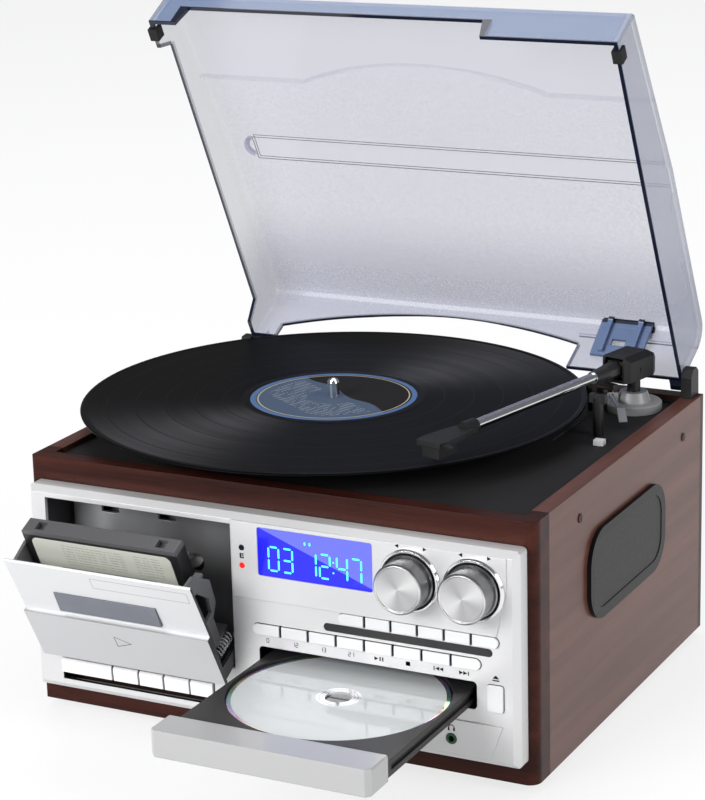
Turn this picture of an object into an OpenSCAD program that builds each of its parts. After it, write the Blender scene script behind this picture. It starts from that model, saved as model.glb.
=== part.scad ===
// Stereo music centre: wooden cabinet with a silver front, belt-drive record deck under a clear lid,
// cassette door, disc tray, dial knobs and key rows. Drawn with the lid up, the door and the tray out.
// Inside each module X runs right, Y runs back and Z runs up from the front left lower corner of the wood.

/* [Cabinet] */
// Width of the wooden cabinet
cab_w = 314; // [312:1:330]
// Depth of the wooden cabinet
cab_d = 260; // [256:1:280]
// Height of the wooden cabinet above its feet
cab_h = 150; // [148:1:165]
// Thickness of the side boards, which is also the width of the rim around the deck
board_t = 10; // [8:0.5:11]
// Thickness of the front wooden frame
frame_t = 18.5; // [16:0.5:22]
// Radius of the right upright front corner
corner_r = 7; // [4:0.5:9]
// Radius of the left upright front corner
corner_left_r = 1.5; // [1:0.5:9]
// Thickness of the back panel
back_t = 5; // [3:0.5:8]
// Thickness of the bottom board
base_t = 6; // [4:0.5:9]
// Height of the rubber feet
foot_h = 5; // [3:0.5:8]
// Radius of the rubber feet
foot_r = 9; // [6:0.5:12]
// Distance of the feet from the cabinet's sides
foot_inset = 28; // [20:1:40]

/* [Deck] */
// Depth of the deck plate below the wooden rim
deck_sink = 3; // [2:0.5:5]
// Thickness of the deck plate
deck_t = 3; // [2.5:0.5:5]
// Distance of the platter's centre from the cabinet's right side
platter_in_x = 187; // [184:1:190]
// Distance of the platter's centre from the cabinet's back
platter_in_y = 125.4; // [122:0.2:128]
// Radius of the platter
platter_r = 98; // [90:1:105]
// Height of the platter's rim
platter_h = 9; // [8:0.5:12]
// Gap under the platter's rim
platter_gap = 2; // [1.5:0.5:3]
// Thickness of the rubber mat
mat_t = 2.6; // [2:0.2:3]
// Radius of the spindle above the platter
spindle_r = 3.57; // [3.4:0.01:3.6]
// Radius of the spindle's shaft in its bearing
shaft_r = 3; // [2.5:0.1:3.2]
// Height of the spindle above the mat
spindle_h = 13; // [10:0.5:16]
// Radius of the platter's drive ring
drive_r = 57.5; // [50:0.5:64]
// Radius of the motor pulley
pulley_r = 6; // [5:0.5:8]
// Radius of the record
record_r = 150.8; // [149:0.1:151]
// Thickness of the record
record_t = 1.4; // [1.2:0.1:2]

/* [Tonearm] */
// Distance of the arm's pivot from the cabinet's right side
pivot_in_x = 33; // [32:0.5:36]
// Distance of the arm's pivot from the cabinet's back
pivot_in_y = 31; // [29:0.5:33]
// Height of the arm tube's centre above the deck
arm_z = 28; // [27:0.5:31]
// Radius of the arm tube
tube_r = 3; // [2.5:0.1:3.2]
// Distance from the arm's pivot to its stylus
arm_len = 195; // [190:1:200]
// Turn of the arm in from straight ahead
arm_turn = 12.6; // [10:0.2:30]
// Radius of the arm's base
arm_base_r = 17; // [14:0.5:18]

/* [Lid] */
// Width of the lid
lid_w = 297.1; // [294:0.1:297.5]
// Distance of the lid from the cabinet's left side
lid_x = 7.3; // [6.5:0.1:8]
// Distance of the lid's front wall from the cabinet's front
lid_front = 3; // [2:0.5:8]
// Distance of the lid's back wall from the cabinet's back
lid_back = 10; // [9:0.5:13]
// Height of the lid's high part above the rim
lid_h = 45; // [42:0.5:48]
// Height of the lid's front part above the rim
lid_front_h = 30; // [25:0.5:32]
// Wall of the lid
lid_t = 2.2; // [1.6:0.1:2.8]
// Opening angle of the lid as drawn
lid_open = 63.4; // [50:0.1:75]
// Distance of the hinge pin in front of the cabinet's back
hinge_in = 3.5; // [3:0.5:5]
// Height of the hinge pin above the rim
hinge_h = 5.5; // [5:0.5:7]

/* [Front panel] */
// Width of the silver panel
panel_w = 305; // [303:1:310]
// Height of the silver panel
panel_h = 123; // [121:1:128]
// How far the silver panel stands out from the wood
panel_d = 12.8; // [11:0.2:15]
// Wall of the silver panel
panel_t = 2.5; // [2:0.1:3]
// Bevel round the panel's face
panel_bevel = 3.5; // [2:0.5:4]
// How far raised fields stand out from the panel's face
raise = 0.8; // [0.5:0.1:1.2]
// Width of the display window
lcd_w = 70.4; // [60:0.2:74]
// Height of the display window
lcd_h = 28.1; // [24:0.1:30]
// Radius of the knobs
knob_r = 14.2; // [12:0.1:15]
// How far a knob stands out from the panel
knob_out = 16; // [12:0.5:20]
// Radius of the rings round the knobs
ring_r = 18; // [17:0.2:19]
// Height of a push button
button_h = 6.2; // [5:0.1:6.4]
// Travel of the push buttons
button_travel = 1; // [0.6:0.1:1.4]
// Radius of the headphone socket's bore
jack_r = 1.75; // [1.6:0.05:1.9]

/* [Cassette deck] */
// Width of the cassette opening
well_w = 121.2; // [120:0.2:122]
// Height of the cassette opening
well_h = 85.3; // [83:0.1:86]
// Depth of the opening's back plate behind the wood's front
well_d = 15; // [14.5:0.5:17]
// Opening angle of the cassette door as drawn
door_open = 25; // [20:0.5:27]
// Thickness of the door's plates
door_t = 2.2; // [1.8:0.1:2.6]
// Width of the cassette
tape_w = 100.4; // [99:0.1:101]
// Height of the cassette
tape_h = 63.8; // [63:0.1:64.5]
// Thickness of the cassette
tape_t = 12; // [11:0.1:12.2]
// Turns of the small coil spring behind the door
spring_turns = 7; // [5:1:9]
// Wire of the small coil spring
spring_wire = 1.1; // [0.8:0.1:1.3]
// Outer radius of the small coil spring
spring_r = 3.9; // [3.5:0.1:4.3]
// Travel angle of the piano keys
key_swing = 7; // [4:0.5:8]

/* [Disc tray] */
// Width of the disc tray
tray_w = 124.6; // [123.4:0.2:126]
// Length of the disc tray behind its front
tray_len = 141; // [136:1:150]
// Thickness of the disc tray
tray_t = 9; // [8:0.5:10]
// How far the tray is out as drawn
tray_out = 123.2; // [100:0.2:126]
// Depth of the tray's front piece
bezel_d = 20.5; // [16:0.5:24]
// Height of the tray's front piece
bezel_h = 15; // [13.5:0.1:15.2]
// Radius of the disc
disc_r = 60; // [59.5:0.1:60.4]
// Thickness of the disc
disc_t = 1.2; // [1.1:0.05:1.4]

/* [Speakers] */
// Length of a speaker's frame along the side board
speaker_len = 117; // [100:1:124]
// Height of a speaker's frame
speaker_high = 53.5; // [46:0.5:58]
// Corner radius of a speaker's frame
speaker_corner = 20; // [14:0.5:22]
// How far a speaker's frame stands out from the side
speaker_out = 2.5; // [1.5:0.1:3.5]

/* [Clearances] */
// Gap between still pieces that lie side by side
fit = 0.2; // [0.1:0.05:0.3]
// Gap round pieces that slide or swing
slide = 0.3; // [0.2:0.05:0.4]
// Radial gap of pins and shafts in their bores
run = 0.05; // [0.02:0.01:0.09]

/* [Hidden] */
$fn = 48;
tiny = 0.02;
// Places of the platter, the arm's pivot and the hinge
deck_top = cab_h - deck_sink;
platter_x = cab_w - platter_in_x;
platter_y = cab_d - platter_in_y;
pivot_x = cab_w - pivot_in_x;
pivot_y = cab_d - pivot_in_y;
hinge_y = cab_d - hinge_in;
hinge_z = cab_h + hinge_h;
mat_top = deck_top + platter_gap + platter_h + mat_t;
record_z = mat_top + fit;
tube_z = deck_top + arm_z;
// Places on the silver panel, from its lower left corner
px = (cab_w - panel_w) / 2;
pz = (cab_h - panel_h) / 2;
face_y = -panel_d;
inner_y = -panel_d + panel_t;
knob_x = [px + 242.5, px + 279.9];
knob_z = pz + 99.6;
lcd_x = px + 150.1;
lcd_z = pz + 89.4;
row1_x = px + 199.2;
row1_z = pz + 68.5;
row1_pitch = 15.77;
row1_n = 6;
row2_x = px + 145.7;
row2_z = pz + 54.7;
row2_pitch = 17.2;
row2_n = 8;
button_gap = 1.5;
bar_x = px + 189.5;
bar_w = 100.5;
bar_z = pz + 62.8;
bar_h = 4.7;
slot_mid = px + 214.7;
slot_w = 132;
slot_z = pz + 31.8;
slot_h = 15.5;
open_x = px + 287.2;
open_w = 9.1;
open_z = slot_z + 0.6;
open_h = 15.1;
jack_x = [px + 265.6, px + 250.2];
jack_z = pz + 12.7;
// Cassette opening, door pivot and cassette, for the door shut
well_x = px + 11.7;
well_z = pz + 31.5;
door_y = -3.5;
door_z = pz + 9;
door_x0 = well_x + 2 * fit;
door_x1 = well_x + well_w - 2 * fit;
door_low = well_z + 0.7;
door_step = door_low + 36.8;
door_top = door_step + 39.5;
lean_low = 2.2;
lean_top = 3.3;
door_foot_y = face_y - 1.9;
tape_x = well_x + 3.5;
tape_y = 1;
tape_z = well_z + 19.8;
hub_gap = 42.5;
hub_z = tape_z + 31;
bracket_x = well_x + 111.8;
arm_t = 2.3;
spring_x = bracket_x + 1;
spring_z = tape_z - fit - 2 - spring_r - 0.6;
spring_y0 = -5.7;
spring_len = 19;
// Piano keys, as left edge and width from the panel's left edge
key_x = [for (x = [17.7, 52.5, 70, 86.6, 103.7]) px + x];
key_w = [33.5, 16.2, 15.3, 15.9, 14.4];
key_z = pz + 11.1;
key_h = 8.7;
key_shaft_y = 16;
key_shaft_z = key_z + 5.4;
key_shaft_r = 1.5;
key_win_x = px + 17.5;
key_win_w = 101.5;
key_win_z = pz + 6.5;
key_win_h = 13.5;
// Disc tray
tray_z = slot_z + 1.4;
tray_front = face_y - tray_out + bezel_d;
disc_x = slot_mid + 0.1;
disc_y = tray_front + 69.9;
disc_floor = tray_z + tray_t - 3.2;
disc_z = disc_floor + slide + disc_t;
disc_hole = 7.5;
// Speakers
speaker_y = 130.5;
speaker_z = 92.7;
// The pulley lies between the drive ring and the platter's rim
pulley_dist = drive_r + 16;
pulley_turn = 215;
pulley_at = [platter_x + pulley_dist * cos(pulley_turn), platter_y + pulley_dist * sin(pulley_turn)];
belt_t = 0.8;
belt_z = deck_top + 4;
belt_h = 4;
// The model's own origin lies under the middle of the whole outline as drawn
left_end = platter_x - record_r;
right_end = cab_w + speaker_out;
front_end = face_y - tray_out;
back_end = platter_y + record_r;
origin = [-(left_end + right_end) / 2, -(front_end + back_end) / 2, foot_h];

// Shared shapes

module at_origin() translate(origin) children();

// Turns a drawing in Y and Z into a plate that runs along X from x0 to x1
module along_x(x0, x1) translate([x0, 0, 0]) rotate([90, 0, 90]) linear_extrude(x1 - x0) children();

// Turns a drawing in X and Z into a plate that runs along Y from y0 to y1
module along_y(y0, y1) translate([0, y1, 0]) rotate([90, 0, 0]) linear_extrude(y1 - y0) children();

// Rectangle with round corners, its lower left corner at 0, 0
module round_rect(w, h, r) {
    translate([r, 0]) square([w - 2 * r, h]);
    translate([0, r]) square([w, h - 2 * r]);
    for (x = [r, w - r], y = [r, h - r]) translate([x, y]) circle(r);
}

module disc_at(x, y, z, r, h) translate([x, y, z]) cylinder(r = r, h = h);

// A pin along X
module pin_x(x0, x1, y, z, r) translate([x0, y, z]) rotate([0, 90, 0]) cylinder(r = r, h = x1 - x0);

// A pin along Y
module pin_y(y0, y1, x, z, r) translate([x, y1, z]) rotate([90, 0, 0]) cylinder(r = r, h = y1 - y0);

// Both sides of the cabinet, the second one mirrored
module both_sides() {
    children();
    translate([cab_w, 0, 0]) mirror([1, 0, 0]) children();
}

// Wooden cabinet

frame_side = board_t + 1;
frame_low = pz + 3.5;
frame_top = cab_h - pz - 3;

module front_frame() at_origin() color("#4a1f17") difference() {
    linear_extrude(cab_h) {
        translate([corner_left_r, 0]) square([cab_w - corner_left_r - corner_r, frame_t]);
        translate([0, corner_left_r]) square([cab_w / 2, frame_t - corner_left_r]);
        translate([cab_w / 2, corner_r]) square([cab_w / 2, frame_t - corner_r]);
        translate([corner_left_r, corner_left_r]) circle(corner_left_r);
        translate([cab_w - corner_r, corner_r]) circle(corner_r);
    }
    translate([frame_side, -1, frame_low])
        cube([cab_w - 2 * frame_side, frame_t + 2, frame_top - frame_low]);
    // The deck plate lies in a step behind the front rim
    translate([board_t, board_t, deck_top - deck_t]) cube([cab_w - 2 * board_t, frame_t, cab_h]);
}

speaker_hole = 4;

module speaker_outline(grow) translate([speaker_y - speaker_len / 2 - grow, speaker_z - speaker_high / 2 - grow])
    round_rect(speaker_len + 2 * grow, speaker_high + 2 * grow, speaker_corner + grow);

module side_boards() at_origin() color("#6b3a2c") both_sides() difference() {
    translate([0, frame_t, 0]) cube([board_t, cab_d - back_t - frame_t, cab_h]);
    along_x(-1, board_t + 1) speaker_outline(-speaker_hole);
    for (p = side_screws) pin_x(-1, screw_deep, p[0], p[1], screw_r + run);
}

side_screws = [[61.7, cab_h - 16.7], [cab_d - 35.3, cab_h - 17.3]];
screw_r = 1.5;
screw_deep = 8;

module screws() at_origin() color("#2b2320") {
    both_sides() for (p = side_screws) {
        pin_x(0.4, screw_deep - 0.5, p[0], p[1], screw_r);
        difference() {
            pin_x(-0.6, 0, p[0], p[1], 2.6);
            translate([-1, p[0] - 0.4, p[1] - 1.8]) cube([0.8, 0.8, 3.6]);
        }
    }
}

rail_h = 18;
vent_n = 9;
vent_pitch = 9;
rear_jack_x = [40, 54];
rear_jack_z = 60;
power_x = 75;
rear_jack_r = 4.2;

module back_panel() at_origin() color("#3a2a26") difference() {
    union() {
        translate([0, cab_d - back_t, 0]) cube([cab_w, back_t, cab_h]);
        translate([board_t, cab_d - board_t, cab_h - rail_h]) cube([cab_w - 2 * board_t, board_t - back_t, rail_h]);
    }
    for (i = [0 : vent_n - 1])
        translate([cab_w / 2 + (i - (vent_n - 1) / 2) * vent_pitch - 1.5, cab_d - back_t - 1, 50])
            cube([3, back_t + 2, 40]);
    for (x = concat(rear_jack_x, [power_x]))
        pin_y(cab_d - back_t - 1, cab_d + 1, x, rear_jack_z, rear_jack_r + fit);
}

module base_board() at_origin() color("#5a4632")
    translate([board_t, frame_t, 0]) cube([cab_w - 2 * board_t, cab_d - back_t - frame_t, base_t]);

module feet() at_origin() color("#1c1c1c")
    for (x = [foot_inset, cab_w - foot_inset], y = [foot_inset, cab_d - foot_inset])
        translate([x, y, -foot_h]) rotate_extrude()
            polygon([[0, 0], [foot_r - 1, 0], [foot_r, 1], [foot_r, foot_h], [0, foot_h]]);

// Record deck

bearing_r = 8;
bearing_len = 20;
motor_hole = 9;
recess_d = 1.2;
recess_x = pivot_x - arm_base_r - 2;
recess_w = 2 * arm_base_r + 4;
recess_front = 84.4;
recess_y = pivot_y - recess_front;
recess_len = pivot_y + arm_base_r + 1.5 - recess_y;
rest_at = [pivot_x + 1, pivot_y - 60];
switch_at = [pivot_x + 8.5, pivot_y - 77];
switch_travel = 8;
cue_at = [pivot_x - 11.5, pivot_y - 8.5];

module deck_plate() at_origin() color("#3b3c3e") difference() {
    union() {
        translate([board_t + fit, board_t + fit, deck_top - deck_t])
            cube([cab_w - 2 * board_t - 2 * fit, cab_d - 2 * board_t - 2 * fit, deck_t]);
        disc_at(platter_x, platter_y, deck_top - bearing_len, bearing_r, bearing_len);
    }
    disc_at(platter_x, platter_y, deck_top - bearing_len - 1, shaft_r + run, bearing_len + 2);
    disc_at(pulley_at[0], pulley_at[1], deck_top - deck_t - 1, motor_hole, deck_t + 2);
    translate([recess_x, recess_y, deck_top - recess_d]) linear_extrude(deck_t) round_rect(recess_w, recess_len, 5);
    // Slot for the speed switch's stem
    translate([switch_at[0] - 1.2, switch_at[1] - 3, deck_top - deck_t - 1]) cube([2.4, switch_travel + 6, deck_t + 2]);
}

// A fine groove in the spindle, just above the record
neck_z = record_z + record_t + 0.3;
neck_d = 0.4;

module platter() at_origin() {
    z0 = deck_top + platter_gap;
    top = z0 + platter_h;
    color("#202124") translate([platter_x, platter_y, 0]) difference() {
        rotate_extrude($fn = 96) polygon([
            [shaft_r, z0 - 0.5], [10, z0 - 0.5], [10, top - 2], [drive_r - 2.5, top - 2],
            [drive_r - 2.5, z0], [drive_r, z0], [drive_r, top - 2], [platter_r - 3, top - 2],
            [platter_r - 3, z0], [platter_r - 1, z0], [platter_r, z0 + 1], [platter_r, top - 1],
            [platter_r - 1, top], [shaft_r, top]]);
        translate([0, 0, z0 - 2]) cylinder(r = shaft_r + tiny, h = platter_h + 4);
    }
    // Rubber mat with shallow rings
    color("#151515") translate([platter_x, platter_y, 0]) rotate_extrude($fn = 96) difference() {
        translate([spindle_r + slide, top + tiny]) square([platter_r - 2 - spindle_r, mat_t - tiny]);
        for (r = [30 : 14 : platter_r - 12]) translate([r, top + mat_t - 0.5]) square([6, 1]);
    }
    // Spindle, turned with a shoulder and a rounded end
    color("silver") translate([platter_x, platter_y, 0]) rotate_extrude() polygon([
        [0, deck_top - bearing_len + 1], [shaft_r, deck_top - bearing_len + 1], [shaft_r, top + tiny],
        [spindle_r, top + tiny], [spindle_r, neck_z], [spindle_r - neck_d, neck_z + 0.1],
        [spindle_r - neck_d, neck_z + 0.5], [spindle_r, neck_z + 0.6],
        [spindle_r, mat_top + spindle_h - 2.5], [spindle_r - 0.8, mat_top + spindle_h - 0.9],
        [spindle_r - 2.4, mat_top + spindle_h], [0, mat_top + spindle_h]]);
}

label_r = 50;

module record() at_origin() color("#0d0d0f") translate([platter_x, platter_y, record_z]) difference() {
    rotate_extrude($fn = 180) polygon([
        [0, 0], [record_r - 0.6, 0], [record_r, 0.5], [record_r, record_t - 0.5], [record_r - 0.6, record_t],
        [record_r - 2.5, record_t], [record_r - 3.5, record_t - 0.3], [label_r + 6, record_t - 0.3],
        [label_r + 3, record_t], [0, record_t]]);
    translate([0, 0, -1]) cylinder(r = spindle_r + run, h = record_t + 2);
}

module motor_pulley() at_origin() color("#c9b26b") translate([pulley_at[0], pulley_at[1], 0]) {
    rotate_extrude() polygon([
        [0, belt_z - 1.5], [pulley_r + 1, belt_z - 1.5], [pulley_r, belt_z - 0.5], [pulley_r, belt_z + belt_h + 0.2],
        [pulley_r - 1, belt_z + belt_h + 0.4], [0, belt_z + belt_h + 0.4]]);
    translate([0, 0, deck_top - 20]) cylinder(r = 1, h = belt_z - deck_top + 19);
}

module belt_loop(grow) hull() {
    translate([platter_x, platter_y]) circle(drive_r + grow, $fn = 96);
    translate(pulley_at) circle(pulley_r + grow, $fn = 32);
}

module drive_belt() at_origin() color("#222222") translate([0, 0, belt_z]) linear_extrude(belt_h) difference() {
    belt_loop(slide + belt_t);
    belt_loop(slide);
}

motor_r = 17;
motor_h = 24;

module turntable_motor() at_origin() color("#8d9094") translate([pulley_at[0], pulley_at[1], 0]) {
    difference() {
        union() {
            translate([0, 0, deck_top - deck_t - motor_h]) cylinder(r = motor_r, h = motor_h);
            translate([-motor_r - 6, -5, deck_top - deck_t - 2]) cube([2 * motor_r + 12, 10, 2]);
        }
        translate([0, 0, deck_top - 21]) cylinder(r = 1 + run, h = 30);
    }
}

// Tonearm: it is drawn along -Y from its pivot and then turned in over the record

module at_pivot() translate([pivot_x, pivot_y, 0]) children();
module in_arm() at_pivot() rotate([0, 0, -arm_turn]) children();

lift_turn = 22.4;
post_r = 4;
post_top = deck_top + 17;
block_low = tube_z - 8;
block_high = tube_z + 8;

module tonearm_base() at_origin() {
    // Round foot, cone and post that the arm turns on
    color("#9a9c9f") at_pivot() rotate_extrude() polygon([
        [0, deck_top - recess_d], [arm_base_r, deck_top - recess_d], [arm_base_r, deck_top + 3.2],
        [arm_base_r - 0.8, deck_top + 4], [10.4, deck_top + 4], [8.2, deck_top + 10], [post_r, deck_top + 10],
        [post_r, post_top], [2, post_top], [2, post_top + 5], [0, post_top + 5]]);
    // Lift bracket over the cue lever: a post beside the cone with a rail under the tube
    color("#161616") at_pivot() rotate([0, 0, -lift_turn]) {
        translate([-15, -24, deck_top]) cube([4, 4, block_low - 1 - deck_top]);
        translate([-15, -24, block_low - 3.2]) cube([21, 4, 2.4]);
    }
    // Ears that hold the cue lever's cross pin
    color("#161616") translate([cue_at[0], cue_at[1], 0]) rotate([0, 0, cue_turn]) difference() {
        for (x = [-4.2, 1.7]) translate([x, -2.8, deck_top]) cube([2.5, 5.6, cue_z + 2.8 - deck_top]);
        pin_x(-5, 5, 0, cue_z, 1.6 + run);
    }
    // Rest post for the parked arm
    color("#161616") difference() {
        union() {
            disc_at(rest_at[0], rest_at[1], deck_top - recess_d, 3, tube_z - tube_r - 3 - deck_top + recess_d);
            translate([rest_at[0] - 5, rest_at[1] - 2, tube_z - tube_r - 6]) cube([10, 4, 5]);
        }
        pin_y(rest_at[1] - 5, rest_at[1] + 5, rest_at[0], tube_z, tube_r + 1.6);
    }
}

lift_y = -7;
lift_z = tube_z - 2;
lift_r = 1.3;

module tonearm_block() at_origin() color("#1b1b1c") in_arm() {
    difference() {
        intersection() {
            // Outline from above, with cut corners
            translate([0, 0, block_low]) linear_extrude(block_high - block_low) polygon([
                [-10, -18], [-10, 6], [-6, 14], [6, 14], [10, 6], [10, -18], [7.5, -22], [-7.5, -22]]);
            // Outline from the side, falling away at the back
            along_x(-12, 12) polygon([
                [14, block_low], [14, tube_z + 1], [3, block_high], [-20, block_high], [-22, block_high - 3],
                [-22, block_low]]);
            // Outline from the front, with chamfered top edges
            along_y(-32, 15) polygon([
                [-10, block_low], [-10, tube_z + 4.5], [-7, block_high], [7, block_high], [10, tube_z + 4.5],
                [10, block_low]]);
        }
        // Bore for the post's pin and the hollow that the neck tilts in
        translate([0, 0, block_low - 1]) cylinder(r = 2 + run, h = post_top + 6.5 - block_low);
        translate([-6.3, -30, tube_z - 6]) cube([12.6, 31, 12.8]);
        // Grip lines on top
        for (y = [-15 : 3 : 0]) translate([-5.5, y, block_high - 0.5]) cube([11, 1, 1]);
    }
    pin_x(-10.4, 10.4, lift_y, lift_z, lift_r);
}

shell_len = 26;
shell_y = arm_len - 8;

// Black neck on the lift pin, with the silver tube in its socket
module tonearm_tube() at_origin() in_arm() {
    color("#1b1b1c") difference() {
        union() {
            translate([-5.2, -20, tube_z - 4.6]) cube([10.4, 19, 9.2]);
            translate([0, -19, tube_z]) rotate([90, 22.5, 0]) cylinder(r1 = 5.6, r2 = 4.8, h = 12, $fn = 8);
            translate([0, -30.9, tube_z]) rotate([90, 0, 0]) cylinder(r1 = 4.6, r2 = tube_r + 0.7, h = 13);
        }
        pin_x(-6, 6, lift_y, lift_z, lift_r + run);
        pin_y(-45, -24, 0, tube_z, tube_r + tiny);
    }
    color("#c9ccd0") pin_y(-shell_y + shell_len - 2, -24.2, 0, tube_z, tube_r);
}

stylus_z = record_z + record_t + 0.8;

module headshell() at_origin() color("#1b1b1c") in_arm() {
    difference() {
        union() {
            // Shell: a flat spoon with a socket for the tube
            translate([0, 0, tube_z - 2]) linear_extrude(3) polygon([
                [-8, -shell_y - 14], [8, -shell_y - 14], [9, -shell_y - 8], [8, -shell_y + 8],
                [4.5, -shell_y + shell_len], [-4.5, -shell_y + shell_len], [-8, -shell_y + 8], [-9, -shell_y - 8]]);
            pin_y(-shell_y + shell_len - 8, -shell_y + shell_len + 2, 0, tube_z, tube_r + 1.2);
        }
        pin_y(-shell_y + shell_len - 3, -shell_y + shell_len + 3, 0, tube_z, tube_r + tiny);
    }
    // Cartridge and stylus
    translate([-6, -arm_len - 4, stylus_z + 3]) cube([12, 16, tube_z - 2 - stylus_z - 3 + tiny]);
    translate([0, -arm_len, stylus_z]) cylinder(r1 = 0.3, r2 = 1.2, h = 3.1);
    // Finger lift at the outer side
    translate([0, 0, tube_z - 1]) linear_extrude(1.2) polygon([
        [7, -shell_y - 12], [15, -shell_y - 14], [16, -shell_y - 12], [8, -shell_y - 8]]);
}

cue_len = 34;
cue_turn = 32;
cue_r = 1.2;
cue_z = deck_top + 8;

// Cue lever: a bent rod with a small wedge grip, on a cross pin beside the lift bracket
module cue_lever() at_origin() color("#7d7f82") translate([cue_at[0], cue_at[1], 0]) rotate([0, 0, cue_turn]) {
    pin_y(-cue_len, 0, 0, cue_z, cue_r);
    // Cross pin and the wedge grip
    pin_x(-4, 4, 0, cue_z, 1.6);
    translate([0, -cue_len + 1, cue_z]) along_x(-2.5, 2.5) polygon([[-7, -5], [-6, -3.5], [0, 1.6], [1.5, 0], [0, -2]]);
}

module speed_switch() at_origin() color("#d8d8d8") translate([switch_at[0], switch_at[1], 0]) {
    translate([-3, -2.5, deck_top - recess_d + fit]) cube([6, 5, 3.2]);
    translate([-0.9, -1.5, deck_top - deck_t - 1]) cube([1.8, 3, deck_t + 1]);
}

// Lid, drawn shut and then swung up about its hinge pins

lid_lift = 1.5;
lid_end = cab_d - lid_back;
lid_x1 = lid_x + lid_w;
slope_len = 118;
crease_drop = 2;
round_y = 12;
round_z = 15;

// Outline of the lid from the side, moved in by t, with its open edge at height low
function lid_outline(t, low) = concat(
    [[lid_front + t, low], [lid_front + t, cab_h + lid_lift], [lid_front - 1.5 + t, cab_h + lid_front_h - 3],
        [lid_front + 1.5 + t / 2, cab_h + lid_front_h - t],
        [lid_front + slope_len, cab_h + lid_h - crease_drop - t]],
    [for (a = [90 : -15 : 0])
        [lid_end - round_y + (round_y - t) * cos(a), cab_h + lid_h - round_z + (round_z - t) * sin(a)]],
    [[lid_end - t, low]]);

module swing_lid(a) translate([0, hinge_y, hinge_z]) rotate([-a, 0, 0]) translate([0, -hinge_y, -hinge_z]) children();

pin_r = 2;
lug_r = 3.8;
lug_w = 9;
notch_z = cab_h + 16;
arch_x = [platter_x - 101.5, platter_x + 102];
arch_mid = platter_x + 15;
arch_top = cab_h + 36;
arch_r = 312;
tab_x = lid_x1 - 63.4;
tab_w = 33;
tab_h = 27.5;

module lid() at_origin() color("#5b6f98", 0.45) swing_lid(lid_open) {
    difference() {
        union() {
            difference() {
                along_x(lid_x, lid_x1) polygon(lid_outline(0, cab_h + lid_lift));
                along_x(lid_x + lid_t, lid_x1 - lid_t) polygon(lid_outline(lid_t, cab_h - 5));
                // Notch in the front wall that lets the record pass
                along_y(-5, lid_front + lid_t + 3)
                    polygon([[platter_x - 103, cab_h - 5], [platter_x - 99, notch_z],
                        [platter_x + 92, notch_z], [platter_x + 97, cab_h - 5]]);
                // Raised edge of the left wall
                along_x(lid_x - 1, lid_x + lid_t + tiny)
                    polygon([[19, cab_h - 5], [29, notch_z - 1], [lid_end - 20, notch_z - 1], [lid_end - 8, cab_h - 5]]);
                // Arch in the back wall over the record
                along_y(lid_end - 10, lid_end + 2) intersection() {
                    translate([arch_mid, arch_top - arch_r]) circle(arch_r, $fn = 240);
                    translate([arch_x[0], cab_h - 5]) square([arch_x[1] - arch_x[0], 60]);
                }
            }
            // Lugs for the hinge pins
            for (x = [lid_x, lid_x1 - lug_w]) {
                pin_x(x, x + lug_w, hinge_y, hinge_z, lug_r);
                translate([x, lid_end - lid_t, hinge_z - 3.4]) cube([lug_w, hinge_y - lid_end + lid_t, 6.8]);
            }
        }
        pin_x(lid_x - 1, lid_x + lug_w - 1, hinge_y, hinge_z, pin_r + run);
        pin_x(lid_x1 - lug_w + 1, lid_x1 + 1, hinge_y, hinge_z, pin_r + run);
    }
    // Ribbed tab inside the back wall
    lid_tab();
}

module lid_tab() translate([tab_x, lid_end - lid_t - 0.4, cab_h + 13]) rotate([11, 0, 0]) difference() {
    union() {
        translate([0, -2, 0]) cube([tab_w, 2.2, tab_h]);
        for (x = [5, tab_w - 8]) translate([x, -4.5, 2]) cube([3, 3, tab_h - 2]);
        for (x = [6.5, tab_w - 6.5]) pin_x(x - 1.6, x + 1.6, -3.4, tab_h - 1, 1.9);
    }
    translate([11, -5, 8]) cube([9, 8, 5]);
}

module lid_bumpers() at_origin() color("#141414") swing_lid(lid_open)
    for (x = [lid_x + lid_t / 2, lid_x1 - lid_t / 2]) difference() {
        translate([x - 2.9, 8.5, cab_h + 0.1]) cube([5.8, 8, 7]);
        translate([x - lid_t / 2 - 0.05, 7, cab_h + lid_lift - 0.05]) cube([lid_t + 0.1, 11, 9]);
    }

block_w = 6.6;
block_h = [18, 9];

module hinge_blocks() at_origin() color("#1b1b1c") {
    x1 = lid_x1 + slide;
    for (m = [0, 1]) translate([m * (lid_x + lid_x1), 0, 0]) mirror([m, 0, 0]) {
        top = cab_h + block_h[m];
        translate([x1, 0, 0]) along_x(0, block_w) polygon([
            [cab_d - 14, cab_h], [cab_d - 14, top - 5], [cab_d - 11, top - 0.5], [cab_d - 5, top],
            [cab_d - 1.5, top - 3], [cab_d - 1, cab_h]]);
        pin_x(x1 - slide - lug_w + 1.5, x1 + 1, hinge_y, hinge_z, pin_r);
    }
}

// Silver front panel

module panel_block() intersection() {
    b = panel_bevel;
    along_y(face_y, 0) translate([px, pz]) round_rect(panel_w, panel_h, 2.5);
    along_x(px, px + panel_w) polygon([[0, pz], [face_y + b, pz], [face_y, pz + b], [face_y, pz + panel_h - b],
        [face_y + b, pz + panel_h], [0, pz + panel_h]]);
    translate([0, 0, pz]) linear_extrude(panel_h) polygon([[px, 0], [px, face_y + b], [px + b, face_y],
        [px + panel_w - b, face_y], [px + panel_w, face_y + b], [px + panel_w, 0]]);
}

module at_face(x, z, y = face_y) translate([x, y, z]) rotate([90, 0, 0]) children();

ring_in = knob_r + 1.2;

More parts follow.
